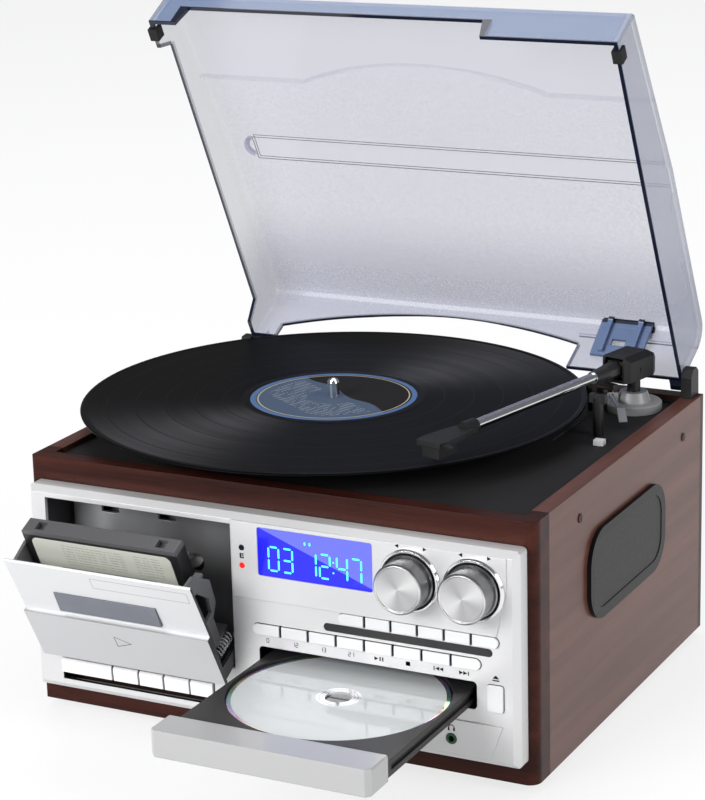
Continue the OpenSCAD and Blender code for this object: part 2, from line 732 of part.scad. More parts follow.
module front_panel() at_origin() color("#d5d7da") difference() {
    union() {
        panel_block();
        // Raised field round the display and the knobs
        along_y(face_y - raise, face_y + 1) polygon([
            [px + 134, pz + 75], [px + 134, pz + panel_h - panel_bevel], [px + 298.5, pz + panel_h - panel_bevel],
            [px + 298.5, pz + 102.5], [px + 292.5, pz + 75]]);
        // Raised field round the sockets, narrower at its foot
        along_y(face_y - raise, face_y + 1) polygon([
            [slot_mid - 81, pz + 24], [slot_mid + 81, pz + 24], [slot_mid + 74, pz + 4], [slot_mid - 74, pz + 4]]);
        for (x = knob_x) at_face(x, knob_z, face_y - raise + tiny) rotate_extrude($fn = 72) polygon([
            [ring_in, 0], [ring_r, 0], [ring_r, 1], [ring_r - 0.8, 2.2], [ring_r - 1.7, 2.4], [ring_in, 1]]);
    }
    translate([px + panel_t, inner_y, pz + panel_t]) cube([panel_w - 2 * panel_t, panel_d, panel_h - 2 * panel_t]);
    along_y(face_y - 5, 1) {
        translate([well_x, well_z]) square([well_w, well_h]);
        translate([lcd_x, lcd_z]) round_rect(lcd_w, lcd_h, 1.5);
        translate([key_win_x, key_win_z]) square([key_win_w, key_win_h]);
        translate([slot_mid - slot_w / 2, slot_z - fit]) round_rect(slot_w, slot_h + 2 * fit, 2.5);
        translate([open_x - slide, open_z - slide]) round_rect(open_w + 2 * slide, open_h + 2 * slide, 1.6);
        row_slot(row1_x, row1_z, row1_n * row1_pitch, slide);
        row_slot(row2_x, row2_z, row2_n * row2_pitch, slide);
    }
    // Sunk bar between the rows of buttons, and the small square by the lamp
    along_y(face_y - 5, face_y + 0.5) translate([bar_x, bar_z]) round_rect(bar_w, bar_h, bar_h / 2 - tiny);
    along_y(face_y - 5, face_y) translate([lamp_x - 1.1, pz + 98.4]) square([2.2, 2.2]);
    for (x = knob_x) pin_y(face_y - 5, 0, x, knob_z, 3 + run);
    for (z = lamp_z) pin_y(face_y - 5, 0, lamp_x, z, 1.7);
    for (x = jack_x) pin_y(face_y - 5, 0, x, jack_z, 3.2);
}

lamp_x = px + 140.2;
lamp_z = [pz + 93.8, pz + 104.2];

module row_slot(x, z, w, grow) translate([x - grow, z - grow])
    round_rect(w + 2 * grow, button_h + 2 * grow, button_h / 2 + grow - tiny);

module display_window() at_origin() color("#1522ff") {
    // Window with a flange behind the panel
    along_y(face_y - raise + 0.5, inner_y + 0.1) translate([lcd_x + fit, lcd_z + fit])
        round_rect(lcd_w - 2 * fit, lcd_h - 2 * fit, 1.3);
    translate([lcd_x - 2, inner_y + 0.1, lcd_z - 2]) cube([lcd_w + 4, 4.5, lcd_h + 4]);
    for (z = lamp_z) pin_y(face_y - raise - 0.2, inner_y + 3, lamp_x, z, 1.6);
}

// Round spun knob with a skirt, its shaft running back through the panel
module knob(x) at_origin() color("#dfe1e4") at_face(x, knob_z, face_y - raise - slide) {
    rotate_extrude($fn = 72) polygon([
        [0, 0], [knob_r + 0.7, 0], [knob_r + 0.7, 2.2], [knob_r, 2.8], [knob_r, knob_out - 1.4],
        [knob_r - 1, knob_out - 0.4], [knob_r - 1.5, knob_out - 0.4], [knob_r - 1.9, knob_out - 0.8],
        [0, knob_out - 0.8]]);
    translate([0, 0, -7]) cylinder(r = 3, h = 7.5);
}

module tuning_knob() knob(knob_x[0]);
module volume_knob() knob(knob_x[1]);

button_out = 1.4;
button_back = 1.6;
board_y = -4;

// One push button of a row: a cap cut from the row's long rounded bar, and its plunger
module row_button(x, z, n, pitch, i) at_origin() color("#d5d7da") {
    x0 = x + i * pitch + (i == 0 ? 0 : button_gap / 2);
    x1 = x + (i + 1) * pitch - (i == n - 1 ? 0 : button_gap / 2);
    along_y(face_y - button_out, inner_y + button_back) intersection() {
        row_slot(x, z, n * pitch, 0);
        translate([x0, z - 1]) square([x1 - x0, button_h + 2]);
    }
    pin_y(inner_y + button_back - tiny, board_y - 1.3 - button_travel, (x0 + x1) / 2, z + button_h / 2, 1.2);
}

module source_button(i) row_button(row1_x, row1_z, row1_n, row1_pitch, i - 1);
module play_button(i) row_button(row2_x, row2_z, row2_n, row2_pitch, i - 1);

module open_button() at_origin() color("#d5d7da") {
    along_y(face_y - button_out, inner_y + button_back) translate([open_x, open_z]) round_rect(open_w, open_h, 1.3);
    pin_y(inner_y + button_back - tiny, board_y - 1.3 - button_travel, open_x + open_w / 2, open_z + open_h / 2, 1.2);
}

// Boards: one behind the panel with the switches, dials and sockets, and the main board on the base
module switch_pad(x, z) translate([x - 3, board_y - 1, z - 3]) cube([6, 1 + tiny, 6]);

board_x0 = px + 143;
board_x1 = px + 299;

module circuit_boards() at_origin() {
    color("#2c6b3a") {
        difference() {
            translate([board_x0, board_y, row2_z - 5])
                cube([board_x1 - board_x0, 1.6, lcd_z + lcd_h - row2_z + 5]);
            for (x = knob_x) pin_y(board_y - 1, board_y + 3, x, knob_z, 2);
        }
        for (x = [board_x0 + 3, board_x1 - 3], z = [row2_z - 2.7, lcd_z + lcd_h - 3])
            pin_y(inner_y, board_y + tiny, x, z, 2);
        translate([open_x - 2, board_y, open_z - 2]) cube([board_x1 - open_x + 2, 1.6, row2_z - open_z]);
        translate([px + 160, frame_t + 12, base_t + 4]) cube([106, 90, 1.6]);
        for (x = [px + 164, px + 262], y = [frame_t + 16, frame_t + 98]) disc_at(x, y, base_t, 2.5, 4);
    }
    color("#202020") {
        for (i = [0 : row1_n - 1]) switch_pad(row1_x + (i + 0.5) * row1_pitch, row1_z + button_h / 2);
        for (i = [0 : row2_n - 1]) switch_pad(row2_x + (i + 0.5) * row2_pitch, row2_z + button_h / 2);
        switch_pad(open_x + open_w / 2, open_z + open_h / 2);
        for (x = [px + 175, px + 205, px + 235]) translate([x, frame_t + 40, base_t + 5.6]) cube([14, 14, 2]);
        for (x = [px + 180, px + 200], y = [frame_t + 80]) disc_at(x, y, base_t + 5.6, 5, 12);
    }
    // Front sockets in their own block behind the panel
    color("#15151a") difference() {
        union() {
            for (x = jack_x) pin_y(face_y - raise - 0.4, inner_y + 1, x, jack_z, 3);
            translate([jack_x[1] - 6, inner_y + 0.1, jack_z - 6]) cube([jack_x[0] - jack_x[1] + 12, 13, 12]);
        }
        for (x = jack_x) pin_y(face_y - 3, inner_y + 9, x, jack_z, jack_r);
    }
    // Rear sockets: two line sockets and the supply socket
    color("#b8b8b8") for (x = rear_jack_x) difference() {
        union() {
            pin_y(cab_d - back_t - 8, cab_d - 0.5, x, rear_jack_z, rear_jack_r);
            pin_y(cab_d - 0.6, cab_d + 0.9, x, rear_jack_z, rear_jack_r - 0.4);
            pin_y(cab_d + 0.8, cab_d + 6.8, x, rear_jack_z, rear_jack_r);
            pin_y(cab_d - back_t - 8, cab_d - back_t - fit, x, rear_jack_z, 6.5);
        }
        pin_y(cab_d - 4, cab_d + 8, x, rear_jack_z, 1.6);
    }
    color("#15151a") difference() {
        union() {
            pin_y(cab_d - back_t - 10, cab_d, power_x, rear_jack_z, rear_jack_r);
            pin_y(cab_d - back_t - 10, cab_d - back_t - fit, power_x, rear_jack_z, 6.5);
        }
        pin_y(cab_d - 9, cab_d + 1, power_x, rear_jack_z, 2.75);
    }
}

// Speakers: a domed grille in a frame on each side, and the driver behind it

module speaker_grilles() at_origin() color("#1d1d1f") both_sides() {
    difference() {
        union() {
            along_x(-speaker_out, 0) speaker_outline(0);
            along_x(-tiny, 3) speaker_outline(-speaker_hole - fit);
        }
        along_x(-speaker_out - 1, 4) speaker_outline(-speaker_hole - 2.5);
    }
    difference() {
        along_x(-speaker_out + 0.4, -speaker_out + 1.4) speaker_outline(-speaker_hole - 2.7);
    }
}

driver_r = 22;

module speaker_drivers() at_origin() color("#333436") both_sides() translate([board_t, speaker_y, speaker_z])
    rotate([0, 90, 0]) rotate_extrude() polygon([
        [6, -4], [driver_r - 4, 0], [driver_r + 8, 0], [driver_r + 8, 2.5], [driver_r, 3], [16, 18], [16, 30], [0, 30],
        [0, -1], [5, -1]]);

// Cassette deck

wall = 1.5;
slot_arm_w = 5;

// Ear below a side wall of the well, with the pin that carries a door arm
module well_ear(x, pin_from, pin_to) {
    along_x(x, x + wall) polygon([[inner_y + 0.1, well_z + 3], [8, well_z + 3], [door_y + 5.5, door_z - 2],
        [door_y + 3, door_z - 5], [door_y - 3, door_z - 5], [door_y - 5.5, door_z - 2], [inner_y + 0.1, well_z - 8]]);
    pin_x(pin_from, pin_to, door_y, door_z, 2);
}

module cassette_well() at_origin() color("#a9acb1") {
    well_shell();
    well_ear(well_x - wall, well_x - 0.5, door_x0 + 0.2 + arm_t + 0.6);
    well_ear(well_x + well_w, door_x1 - 0.2 - arm_t - 0.6, well_x + well_w + 0.5);
}

module well_shell() difference() {
    translate([well_x - wall, inner_y, well_z - wall]) cube([well_w + 2 * wall, well_d + 2 - inner_y, well_h + 2 * wall]);
    translate([well_x, inner_y - 1, well_z]) cube([well_w, well_d - inner_y + 1, well_h]);
    // Slots in the floor for the door's arms
    for (x = [well_x - fit, well_x + well_w + fit - slot_arm_w])
        translate([x, inner_y - 1, well_z - wall - 1]) cube([slot_arm_w, well_d - inner_y - 1, wall + 2]);
    // Windows, the round hole and the reel holes in the back plate
    for (x = [well_x + 20.3, well_x + 58.3]) translate([x, well_d - 1, well_z + 70.7]) cube([11.6, 4, 4.4]);
    pin_y(well_d - 1, well_d + 4, well_x + 81.8, well_z + 48, 5.5);
    for (i = [-0.5, 0.5]) pin_y(well_d - 1, well_d + 4, tape_x + tape_w / 2 + i * hub_gap, hub_z, 3.6);
    translate([tape_x + 28, well_d - 1, tape_z + 1]) cube([44, 4, 9]);
    // Grip slot in the right wall
    translate([well_x + well_w - 1, well_d - 9, well_z + 30]) cube([wall + 2, 4, 28]);
}

module shut_to_open(a) translate([0, door_y, door_z]) rotate([a, 0, 0]) translate([0, -door_y, -door_z]) children();

// Back face of the door's plates at height z
function door_back(z) = z < door_step
    ? door_foot_y + door_t + 0.6 * (z - door_low) / (door_step - door_low)
    : door_foot_y + door_t + 0.6 - lean_top * (z - door_step) / (door_top - door_step);

win_x = door_x0 + 25.2;
win_w = 66.4;
win_z = door_step + 3.7;
win_h = 14.4;

module door_plate() along_x(door_x0, door_x1) polygon([
    [door_foot_y, door_low], [door_foot_y - lean_low, door_step], [door_foot_y + 0.6, door_step + 0.3],
    [door_foot_y + 0.6 - lean_top + 0.8, door_top - 0.5], [door_foot_y + 0.6 - lean_top + 1.4, door_top],
    [door_back(door_top), door_top], [door_back(door_step), door_step], [door_back(door_low), door_low]]);

module door_arm(x) along_x(x, x + arm_t) difference() {
    union() {
        polygon([[door_back(door_low + 2) - 0.5, door_low + 2], [door_back(door_low + 11) - 0.5, door_low + 11],
            [2, door_low + 11], [7, door_low + 6], [6, door_low - 5], [door_y + 3.9, door_z],
            [door_y - 1.5, door_z + 3.6], [1.5, door_low + 3]]);
        translate([door_y, door_z]) circle(4);
    }
    translate([door_y, door_z]) circle(pin_hole);
}

pin_hole = 2 + run;
spring_seat = 2.3;

module cassette_door() at_origin() color("#dcdee1") shut_to_open(door_open) {
    difference() {
        union() {
            door_plate();
            for (x = [door_x0 + 0.2, door_x1 - arm_t - 0.2]) door_arm(x);
            // Boss and peg that carry the small spring
            pin_y(door_back(spring_z) - 0.5, spring_y0 - fit, spring_x, spring_z, spring_r);
            pin_y(spring_y0 - 1, spring_y0 + 6, spring_x, spring_z, spring_seat);
        }
        along_y(-30, 0) translate([win_x, win_z]) square([win_w, win_h]);
    }
    // Smoked window pane, seated in the opening
    along_y(door_foot_y - 1.2, door_foot_y + 0.4) translate([win_x + 0.1, win_z + 0.1])
        square([win_w - 0.2, win_h - 0.2]);
}

// Holder behind the door: a shelf under the cassette, a left cheek and the cut-out bracket at the right
module cassette_holder() at_origin() color("#2c2d2f") shut_to_open(door_open) {
    shelf_z = tape_z - fit - 2;
    y0 = door_back(shelf_z) + fit;
    difference() {
        union() {
            translate([door_x0 + 0.4, y0, shelf_z]) cube([bracket_x + 2 - door_x0 - 0.4, tape_y + tape_t - y0, 2]);
            along_x(door_x0 + 0.5, door_x0 + 2.5) polygon([
                [y0 + 1, shelf_z + 1], [door_back(door_top - 6) + 4, door_top - 6], [4, door_top - 4],
                [tape_y + tape_t - 0.2, door_top - 16],
                [tape_y + tape_t - 0.2, shelf_z + 1]]);
            along_x(bracket_x, bracket_x + 1.9) polygon([
                [y0 + 0.2, shelf_z + 1], [door_back(door_step) + fit, door_step],
                [door_back(door_top - 5) + fit, door_top - 5], [-2, door_top - 6], [10.5, door_top - 20],
                [9.5, door_top - 36], [3, door_top - 42], [3, shelf_z + 1]]);
            // Catch at the bracket's top
            translate([bracket_x - 4, 1, door_top - 15]) cube([4.5, 7, 2]);
        }
        // Hole in the bracket, with five sides
        along_x(bracket_x - 1, bracket_x + 3) polygon([
            [-10, door_top - 16], [-4, door_top - 17], [4.5, door_top - 29], [3, door_top - 38], [-9.5, door_top - 40]]);
    }
}

module hub_hole(i) pin_y(tape_y - 1, tape_y + tape_t + 1, tape_x + tape_w / 2 + i * hub_gap, hub_z, 4.9);

module cassette() at_origin() color("#1a1a1c") shut_to_open(door_open) difference() {
    union() {
        along_y(tape_y + 1, tape_y + tape_t - 1) translate([tape_x, tape_z]) round_rect(tape_w, tape_h, 1.5);
        // Thick part along the tape's edge
        along_y(tape_y, tape_y + tape_t) polygon([[tape_x + 14, tape_z], [tape_x + 18, tape_z + 15],
            [tape_x + tape_w - 18, tape_z + 15], [tape_x + tape_w - 14, tape_z]]);
        // Label field
        along_y(tape_y + 0.7, tape_y + 2) translate([tape_x + 5, tape_z + 19]) round_rect(tape_w - 10, 40, 4);
    }
    for (i = [-0.5, 0.5]) hub_hole(i);
    // Window between the hubs
    along_y(tape_y - 1, tape_y + 1.6) translate([tape_x + tape_w / 2 - 31, hub_z - 7.5]) round_rect(62, 15, 7.4);
    for (x = [tape_x + 8, tape_x + tape_w - 14]) translate([x, tape_y + 3, tape_z + tape_h - 3]) cube([6, 6, 4]);
}

reel_r = 3.2;
axle_r = 1;

// Reel: a splined tip that enters the cassette's hub, on the mechanism's axle
module reel(i) at_origin() color("#e8e8e8") translate([tape_x + tape_w / 2 + i * hub_gap, well_d + 8, hub_z])
    rotate([90, 0, 0]) difference() {
        union() {
            cylinder(r = reel_r, h = 14);
            cylinder(r = 2.4, h = 15.2);
            cylinder(r = 9, h = 2);
            for (a = [0 : 120 : 240]) rotate([0, 0, a]) translate([-0.5, 0, 9]) cube([1, reel_r + 0.6, 5]);
        }
        translate([0, 0, -1]) cylinder(r = axle_r + run, h = 10);
    }

module supply_reel() reel(-0.5);
module takeup_reel() reel(0.5);

// Tape mechanism behind the well, with the shafts of the reels, the keys and the door
module cassette_mechanism() at_origin() color("#7c7f84") {
    translate([well_x + 2, well_d + 9, well_z - 2]) cube([well_w - 6, 3, 84]);
    for (x = [well_x + 6, well_x + well_w - 14], z = [well_z + 2, well_z + 70])
        pin_y(well_d + 2, well_d + 10, x, z, 3);
    for (i = [-0.5, 0.5]) {
        pin_y(well_d + 8 + slide, well_d + 12, tape_x + tape_w / 2 + i * hub_gap, hub_z, 5);
        pin_y(well_d + 0.5, well_d + 12, tape_x + tape_w / 2 + i * hub_gap, hub_z, axle_r);
    }
    // Motor with its flywheel
    pin_y(well_d + 12, well_d + 30, well_x + 30, well_z + 20, 13);
    pin_y(well_d + 12, well_d + 20, well_x + 88, well_z + 30, 19);
    // Shaft of the piano keys with its two side plates
    pin_x(key_x[0] - 3.5, key_x[4] + key_w[4] + 3.5, key_shaft_y, key_shaft_z, key_shaft_r);
    for (x = [key_x[0] - 3.5, key_x[4] + key_w[4] + 1.5])
        along_x(x, x + 2) polygon([[key_shaft_y - 3, frame_low + slide], [key_shaft_y - 3, well_z - wall - fit],
            [well_d + 9.5, well_z - wall - fit], [well_d + 9.5, well_z - 1], [well_d + 12, well_z - 1],
            [well_d + 12, base_t], [frame_t + slide, base_t],
            [frame_t + slide, frame_low + slide]]);
}

// Piano key: a cap with a sloped face on a lever that turns on the key shaft
module piano_key(i) at_origin() color("#e6e7e9") difference() {
    union() {
        along_x(key_x[i - 1], key_x[i - 1] + key_w[i - 1]) polygon([
            [face_y - 1, key_z], [face_y - 1.6, key_z + key_h - 1.5], [face_y - 0.6, key_z + key_h],
            [inner_y + 6, key_z + key_h], [inner_y + 8, key_z + 7.4], [key_shaft_y, key_shaft_z + 3],
            [key_shaft_y, key_shaft_z - 3], [inner_y + 8, key_z + 1.4], [inner_y + 3, key_z]]);
        pin_x(key_x[i - 1], key_x[i - 1] + key_w[i - 1], key_shaft_y, key_shaft_z, 3);
    }
    pin_x(key_x[i - 1] - 1, key_x[i - 1] + key_w[i - 1] + 1, key_shaft_y, key_shaft_z, key_shaft_r + run);
}

// Small coil spring on the door's peg, one unbroken wire
spring_mean = spring_r - spring_wire / 2;
spring_steps = 8 * spring_turns;
function spring_point(i) = [spring_mean * cos(45 * i), spring_wire
    + (spring_len - 2 * spring_wire) * i / spring_steps, spring_mean * sin(45 * i)];
// The wire's line: the curls with a short straight end before and after them
spring_line = concat([spring_point(0) - [0, 0, spring_wire]],
    [for (i = [0 : spring_steps]) spring_point(i)],
    [spring_point(spring_steps) + [0, 0, spring_wire]]);
spring_gaps = [for (i = [0 : len(spring_line) - 6], j = [i + 5 : len(spring_line) - 1])
    norm(spring_line[i] - spring_line[j]) - spring_wire];
echo(least_gap_of_the_door_spring_mm = min(spring_gaps));

module door_spring() at_origin() color("#c8cacd") shut_to_open(door_open) translate([spring_x, spring_y0, spring_z]) {
    sides = 6;
    rings = len(spring_line);
    ring = [for (n = [0 : rings - 1], k = [0 : sides - 1]) let (
        a = 45 * min(max(n - 1, 0), spring_steps),
        out = spring_wire / 2 * cos(60 * k), up = spring_wire / 2 * sin(60 * k))
        spring_line[n] + [out * cos(a), up, out * sin(a)]];
    last = (rings - 1) * sides;
    faces = concat(
        [for (i = [0 : rings - 2], k = [0 : sides - 1]) let (n = (k + 1) % sides)
            [i * sides + k, (i + 1) * sides + n, i * sides + n]],
        [for (i = [0 : rings - 2], k = [0 : sides - 1]) let (n = (k + 1) % sides)
            [i * sides + k, (i + 1) * sides + k, (i + 1) * sides + n]],
        [for (k = [1 : sides - 2]) [0, k, k + 1]],
        [for (k = [1 : sides - 2]) [last, last + k + 1, last + k]]);
    polyhedron(ring, faces);
}

// Disc tray

module disc_tray() at_origin() color("#4a4b4e") difference() {
    translate([slot_mid - tray_w / 2, tray_front, tray_z]) cube([tray_w, tray_len, tray_t]);
    disc_at(slot_mid, disc_y, disc_floor, disc_r + 0.9, 5);
    disc_at(slot_mid, disc_y, disc_floor - 1, 41, 5);
    // Window for the spindle and the laser
    translate([slot_mid - 13, disc_y - 13, tray_z - 1]) cube([26, tray_len - 69.9 + 14, tray_t + 2]);
    // Grooves for the side rails
    for (x = [slot_mid - tray_w / 2 - 1, slot_mid + tray_w / 2 - 1.5])
        translate([x, tray_front + 6, tray_z + 3]) cube([2.5, tray_len, 3.5]);
}

module tray_front_piece() at_origin() color("#e9eaec") {
    y0 = face_y - tray_out;
    b = 3;
    intersection() {
        along_y(y0, y0 + bezel_d - fit) translate([slot_mid - slot_w / 2 + 2.4, slot_z + 0.2])
            round_rect(slot_w - 4.8, bezel_h, 1.2);
        translate([0, 0, slot_z]) linear_extrude(slot_h) polygon([
            [slot_mid - slot_w / 2 + 2.4, y0 + b], [slot_mid - slot_w / 2 + 2.4 + b, y0],
            [slot_mid + slot_w / 2 - 2.4 - b, y0], [slot_mid + slot_w / 2 - 2.4, y0 + b],
            [slot_mid + slot_w / 2 - 2.4, y0 + bezel_d], [slot_mid - slot_w / 2 + 2.4, y0 + bezel_d]]);
    }
}

module disc() at_origin() color("#dfe5e4") translate([slot_mid, disc_y, disc_z - disc_t]) difference() {
    cylinder(r = disc_r, h = disc_t, $fn = 128);
    translate([0, 0, -1]) cylinder(r = disc_hole, h = disc_t + 2);
}

rail_w = 3.4;

module disc_mechanism() at_origin() color("#2a2b2d") {
    x0 = slot_mid - tray_w / 2;
    x1 = slot_mid + tray_w / 2;
    difference() {
        translate([x0 - rail_w - slide, frame_t + 2, tray_z - 5]) cube([tray_w + 2 * rail_w + 2 * slide, 140, 3]);
        translate([slot_mid - 30, frame_t + 30, tray_z - 6]) cube([60, 90, 5]);
    }
    for (x = [x0 + 4, x1 - 4], y = [frame_t + 10, frame_t + 132]) disc_at(x, y, base_t, 4, tray_z - 5 - base_t);
    // Side rails with tongues that run in the tray's grooves
    for (m = [0, 1]) translate([m * 2 * slot_mid, 0, 0]) mirror([m, 0, 0]) {
        translate([x0 - rail_w - slide, frame_t + 2, tray_z - 2.1]) cube([rail_w, 140, tray_t + 4]);
        translate([x0 - slide - tiny, frame_t + 2, tray_z + 3 + slide]) cube([1.5, 140, 3.5 - 2 * slide]);
    }
    // Sled bars, laser and spindle motor in the chassis opening
    for (x = [slot_mid - 22, slot_mid + 22]) pin_y(frame_t + 29, frame_t + 121, x, tray_z - 3.5, 1.4);
    translate([slot_mid - 21, frame_t + 90, tray_z - 7]) cube([42, 20, 5]);
    translate([slot_mid - 24, frame_t + 52, tray_z - 8]) cube([48, 8, 5.5]);
    disc_at(slot_mid, disc_y + tray_out, tray_z - 14, 12, 10);
}

front_frame();
side_boards();
back_panel();
base_board();
feet();
deck_plate();
front_panel();
cassette_well();
display_window();
speaker_grilles();
speaker_drivers();
circuit_boards();
cassette_mechanism();
disc_mechanism();
turntable_motor();
drive_belt();
tonearm_base();
hinge_blocks();
screws();
platter();
record();
motor_pulley();
tonearm_block();
tonearm_tube();
headshell();
cue_lever();
speed_switch();
lid();
lid_bumpers();
disc_tray();
tray_front_piece();
disc();
cassette_door();
cassette();
cassette_holder();
door_spring();
supply_reel();
takeup_reel();
tuning_knob();
volume_knob();
open_button();
source_button(1);  // source_button_1
source_button(2);  // source_button_2
source_button(3);  // source_button_3
source_button(4);  // source_button_4
source_button(5);  // source_button_5
source_button(6);  // source_button_6
play_button(1);  // play_button_1
play_button(2);  // play_button_2
play_button(3);  // play_button_3
play_button(4);  // play_button_4
play_button(5);  // play_button_5
play_button(6);  // play_button_6
play_button(7);  // play_button_7
play_button(8);  // play_button_8
piano_key(1);  // piano_key_1
piano_key(2);  // piano_key_2
piano_key(3);  // piano_key_3
piano_key(4);  // piano_key_4
piano_key(5);  // piano_key_5
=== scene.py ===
import math

import bmesh
import bpy
from mathutils import Matrix, Vector


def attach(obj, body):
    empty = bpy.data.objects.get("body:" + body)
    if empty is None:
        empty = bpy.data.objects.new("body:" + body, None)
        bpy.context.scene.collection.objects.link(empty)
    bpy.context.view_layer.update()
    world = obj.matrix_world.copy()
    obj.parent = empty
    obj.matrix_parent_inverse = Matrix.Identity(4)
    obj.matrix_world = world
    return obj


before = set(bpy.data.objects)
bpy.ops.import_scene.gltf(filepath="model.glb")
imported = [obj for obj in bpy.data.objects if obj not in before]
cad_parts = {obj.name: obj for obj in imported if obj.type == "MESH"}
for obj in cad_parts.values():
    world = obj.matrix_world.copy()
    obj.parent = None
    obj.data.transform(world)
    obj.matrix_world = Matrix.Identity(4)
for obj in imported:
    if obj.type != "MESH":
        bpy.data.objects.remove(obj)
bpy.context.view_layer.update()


# The view: the camera stands in front and to the right, a little above the lid's foot.
# Places are given in millimetres from the front left lower corner of the wooden cabinet,
# X to the right, Y to the back and Z up, and this matrix takes them to the model's metres.
cabinet_corner = Vector((-146.35, -74.7, 5))
cabinet = Matrix.Scale(0.001, 4) @ Matrix.Translation(cabinet_corner)
picture_wide, picture_high = 705, 800
focal_length, middle_x, middle_y = 2602.741, 322.982, 402.356    # in pixels of that picture
turn, tilt, roll = 0.48721, 0.28507, -0.02988
ahead = Vector((-math.sin(turn) * math.cos(tilt), math.cos(turn) * math.cos(tilt), -math.sin(tilt)))
level = Vector((math.cos(turn), math.sin(turn), 0))
upright = level.cross(ahead)
right = math.cos(roll) * level + math.sin(roll) * upright
up = math.cos(roll) * upright - math.sin(roll) * level
camera = bpy.data.objects.new("camera", bpy.data.cameras.new("camera"))
camera.matrix_world = Matrix((right, up, -ahead)).transposed().to_4x4()
camera.location = cabinet @ Vector((818.654, -1184.811, 595.149))
camera.data.sensor_fit = "VERTICAL"
camera.data.sensor_height = 36
camera.data.lens = focal_length / picture_high * camera.data.sensor_height
camera.data.shift_x = (picture_wide / 2 - middle_x) / picture_high
camera.data.shift_y = (middle_y - picture_high / 2) / picture_high
camera.data.clip_end = 50
bpy.context.scene.collection.objects.link(camera)
bpy.context.scene.camera = camera
bpy.context.scene.view_settings.view_transform = "Standard"


# The studio: a pale floor that keeps a soft shadow, white all round, and three large soft
# lamps. The floor and the sky are white to the camera, in gloss and through clear plastic.
class Field:
    """A shader value that can be written in sums."""

    def __init__(self, tree, socket):
        self.tree, self.socket = tree, socket

    def math(self, operation, *values, clamp=False):
        return self.tree.node("ShaderNodeMath", {"operation": operation, "use_clamp": clamp}, *values)

    def __add__(self, other): return self.math("ADD", self, other)
    def __radd__(self, other): return self.math("ADD", other, self)
    def __sub__(self, other): return self.math("SUBTRACT", self, other)
    def __rsub__(self, other): return self.math("SUBTRACT", other, self)
    def __mul__(self, other): return self.math("MULTIPLY", self, other)
    def __rmul__(self, other): return self.math("MULTIPLY", other, self)
    def __pow__(self, other): return self.math("POWER", self, other)
    def __gt__(self, other): return self.math("GREATER_THAN", self, other)
    def __lt__(self, other): return self.math("LESS_THAN", self, other)
    def sin(self): return self.math("SINE", self)
    def least(self, other): return self.math("MINIMUM", self, other)
    def most(self, other): return self.math("MAXIMUM", self, other)
    def part(self): return self.math("FRACT", self)
    def clip(self): return self.math("ADD", self, 0.0, clamp=True)

    def rise(self, start, end):
        """0 before start, 1 after end, smooth between them."""
        smooth = {"interpolation_type": "SMOOTHSTEP"}
        return self.tree.node("ShaderNodeMapRange", smooth, self, start, end, 0.0, 1.0)

    def within(self, low, high, soft=0.15):
        """1 between low and high."""
        return self.rise(low - soft, low + soft) * (1 - self.rise(high - soft, high + soft))


class Tree:
    """The nodes of a material or of the sky."""

    def __init__(self, owner):
        owner.use_nodes = True
        self.nodes, self.links = owner.node_tree.nodes, owner.node_tree.links

    def node(self, kind, settings=None, *values, out=0, **named):
        made = self.nodes.new(kind)
        for key, value in (settings or {}).items():
            setattr(made, key, value)
        for key, value in [*enumerate(values), *named.items()]:
            if value is not None:
                self.join(made.inputs[key.replace("_", " ") if isinstance(key, str) else key], value)
        return Field(self, made.outputs[out])

    def join(self, socket, value):
        if isinstance(value, Field):
            self.links.new(value.socket, socket)
        elif hasattr(value, "__len__") and len(value) == 3 and socket.type == "RGBA":
            socket.default_value = (*value, 1)
        else:
            socket.default_value = value

    def output(self, kind, shader):
        self.join(self.nodes[kind].inputs["Surface"], shader)

    def seen_white(self, *rays):
        """1 for rays of these kinds."""
        light_path = self.nodes.new("ShaderNodeLightPath")
        share = Field(self, light_path.outputs["Is Camera Ray"])
        for ray in rays:
            share = share.most(Field(self, light_path.outputs[ray]))
        return share


class Paint(Tree):
    """A finish, built on one Principled shader."""

    def __init__(self, name, **sockets):
        self.material = bpy.data.materials.new(name)
        super().__init__(self.material)
        self.shader = self.nodes["Principled BSDF"]
        for socket, value in sockets.items():
            self.set(socket.replace("_", " "), value)

    def set(self, socket, value):
        self.join(self.shader.inputs[socket], value)

    def point(self, hinge=None, angle=0.0):
        """The place in millimetres on the cabinet, or on a flap before it swung about a hinge at Y and Z."""
        raw = self.node("ShaderNodeTexCoord", None, out="Object")
        place = Matrix.Translation(-cabinet_corner)
        if hinge:
            pivot = Matrix.Translation((0, *hinge))
            place = pivot @ Matrix.Rotation(angle, 4, "X") @ pivot.inverted() @ place
        in_mm = (1000.0,) * 3
        return self.node("ShaderNodeMapping", None, raw, place.to_translation(), place.to_euler(), in_mm)

    def split(self, vector):
        made = self.nodes.new("ShaderNodeSeparateXYZ")
        self.join(made.inputs[0], vector)
        return [Field(self, socket) for socket in made.outputs]

    def stretch(self, vector, x, y, z):
        return self.node("ShaderNodeMapping", None, vector, (0, 0, 0), (0, 0, 0), (x, y, z))

    def noise(self, vector, scale, detail=2.0, rough=0.5):
        return self.node("ShaderNodeTexNoise", None, vector, Scale=scale, Detail=detail, Roughness=rough)

    def mix(self, share, first, second):
        made = self.nodes.new("ShaderNodeMix")
        made.data_type = "RGBA"
        for index, value in ((0, share), (6, first), (7, second)):
            self.join(made.inputs[index], value)
        return Field(self, made.outputs[2])

    def bump(self, height, depth, strength=1.0, normal=None):
        """Raises the surface by height times depth in millimetres."""
        given = {"Strength": strength, "Distance": depth / 1000, "Height": height, "Normal": normal}
        return self.node("ShaderNodeBump", None, **given)

    def round_edges(self, radius):
        return self.node("ShaderNodeBevel", {"samples": 4}, Radius=radius / 1000)


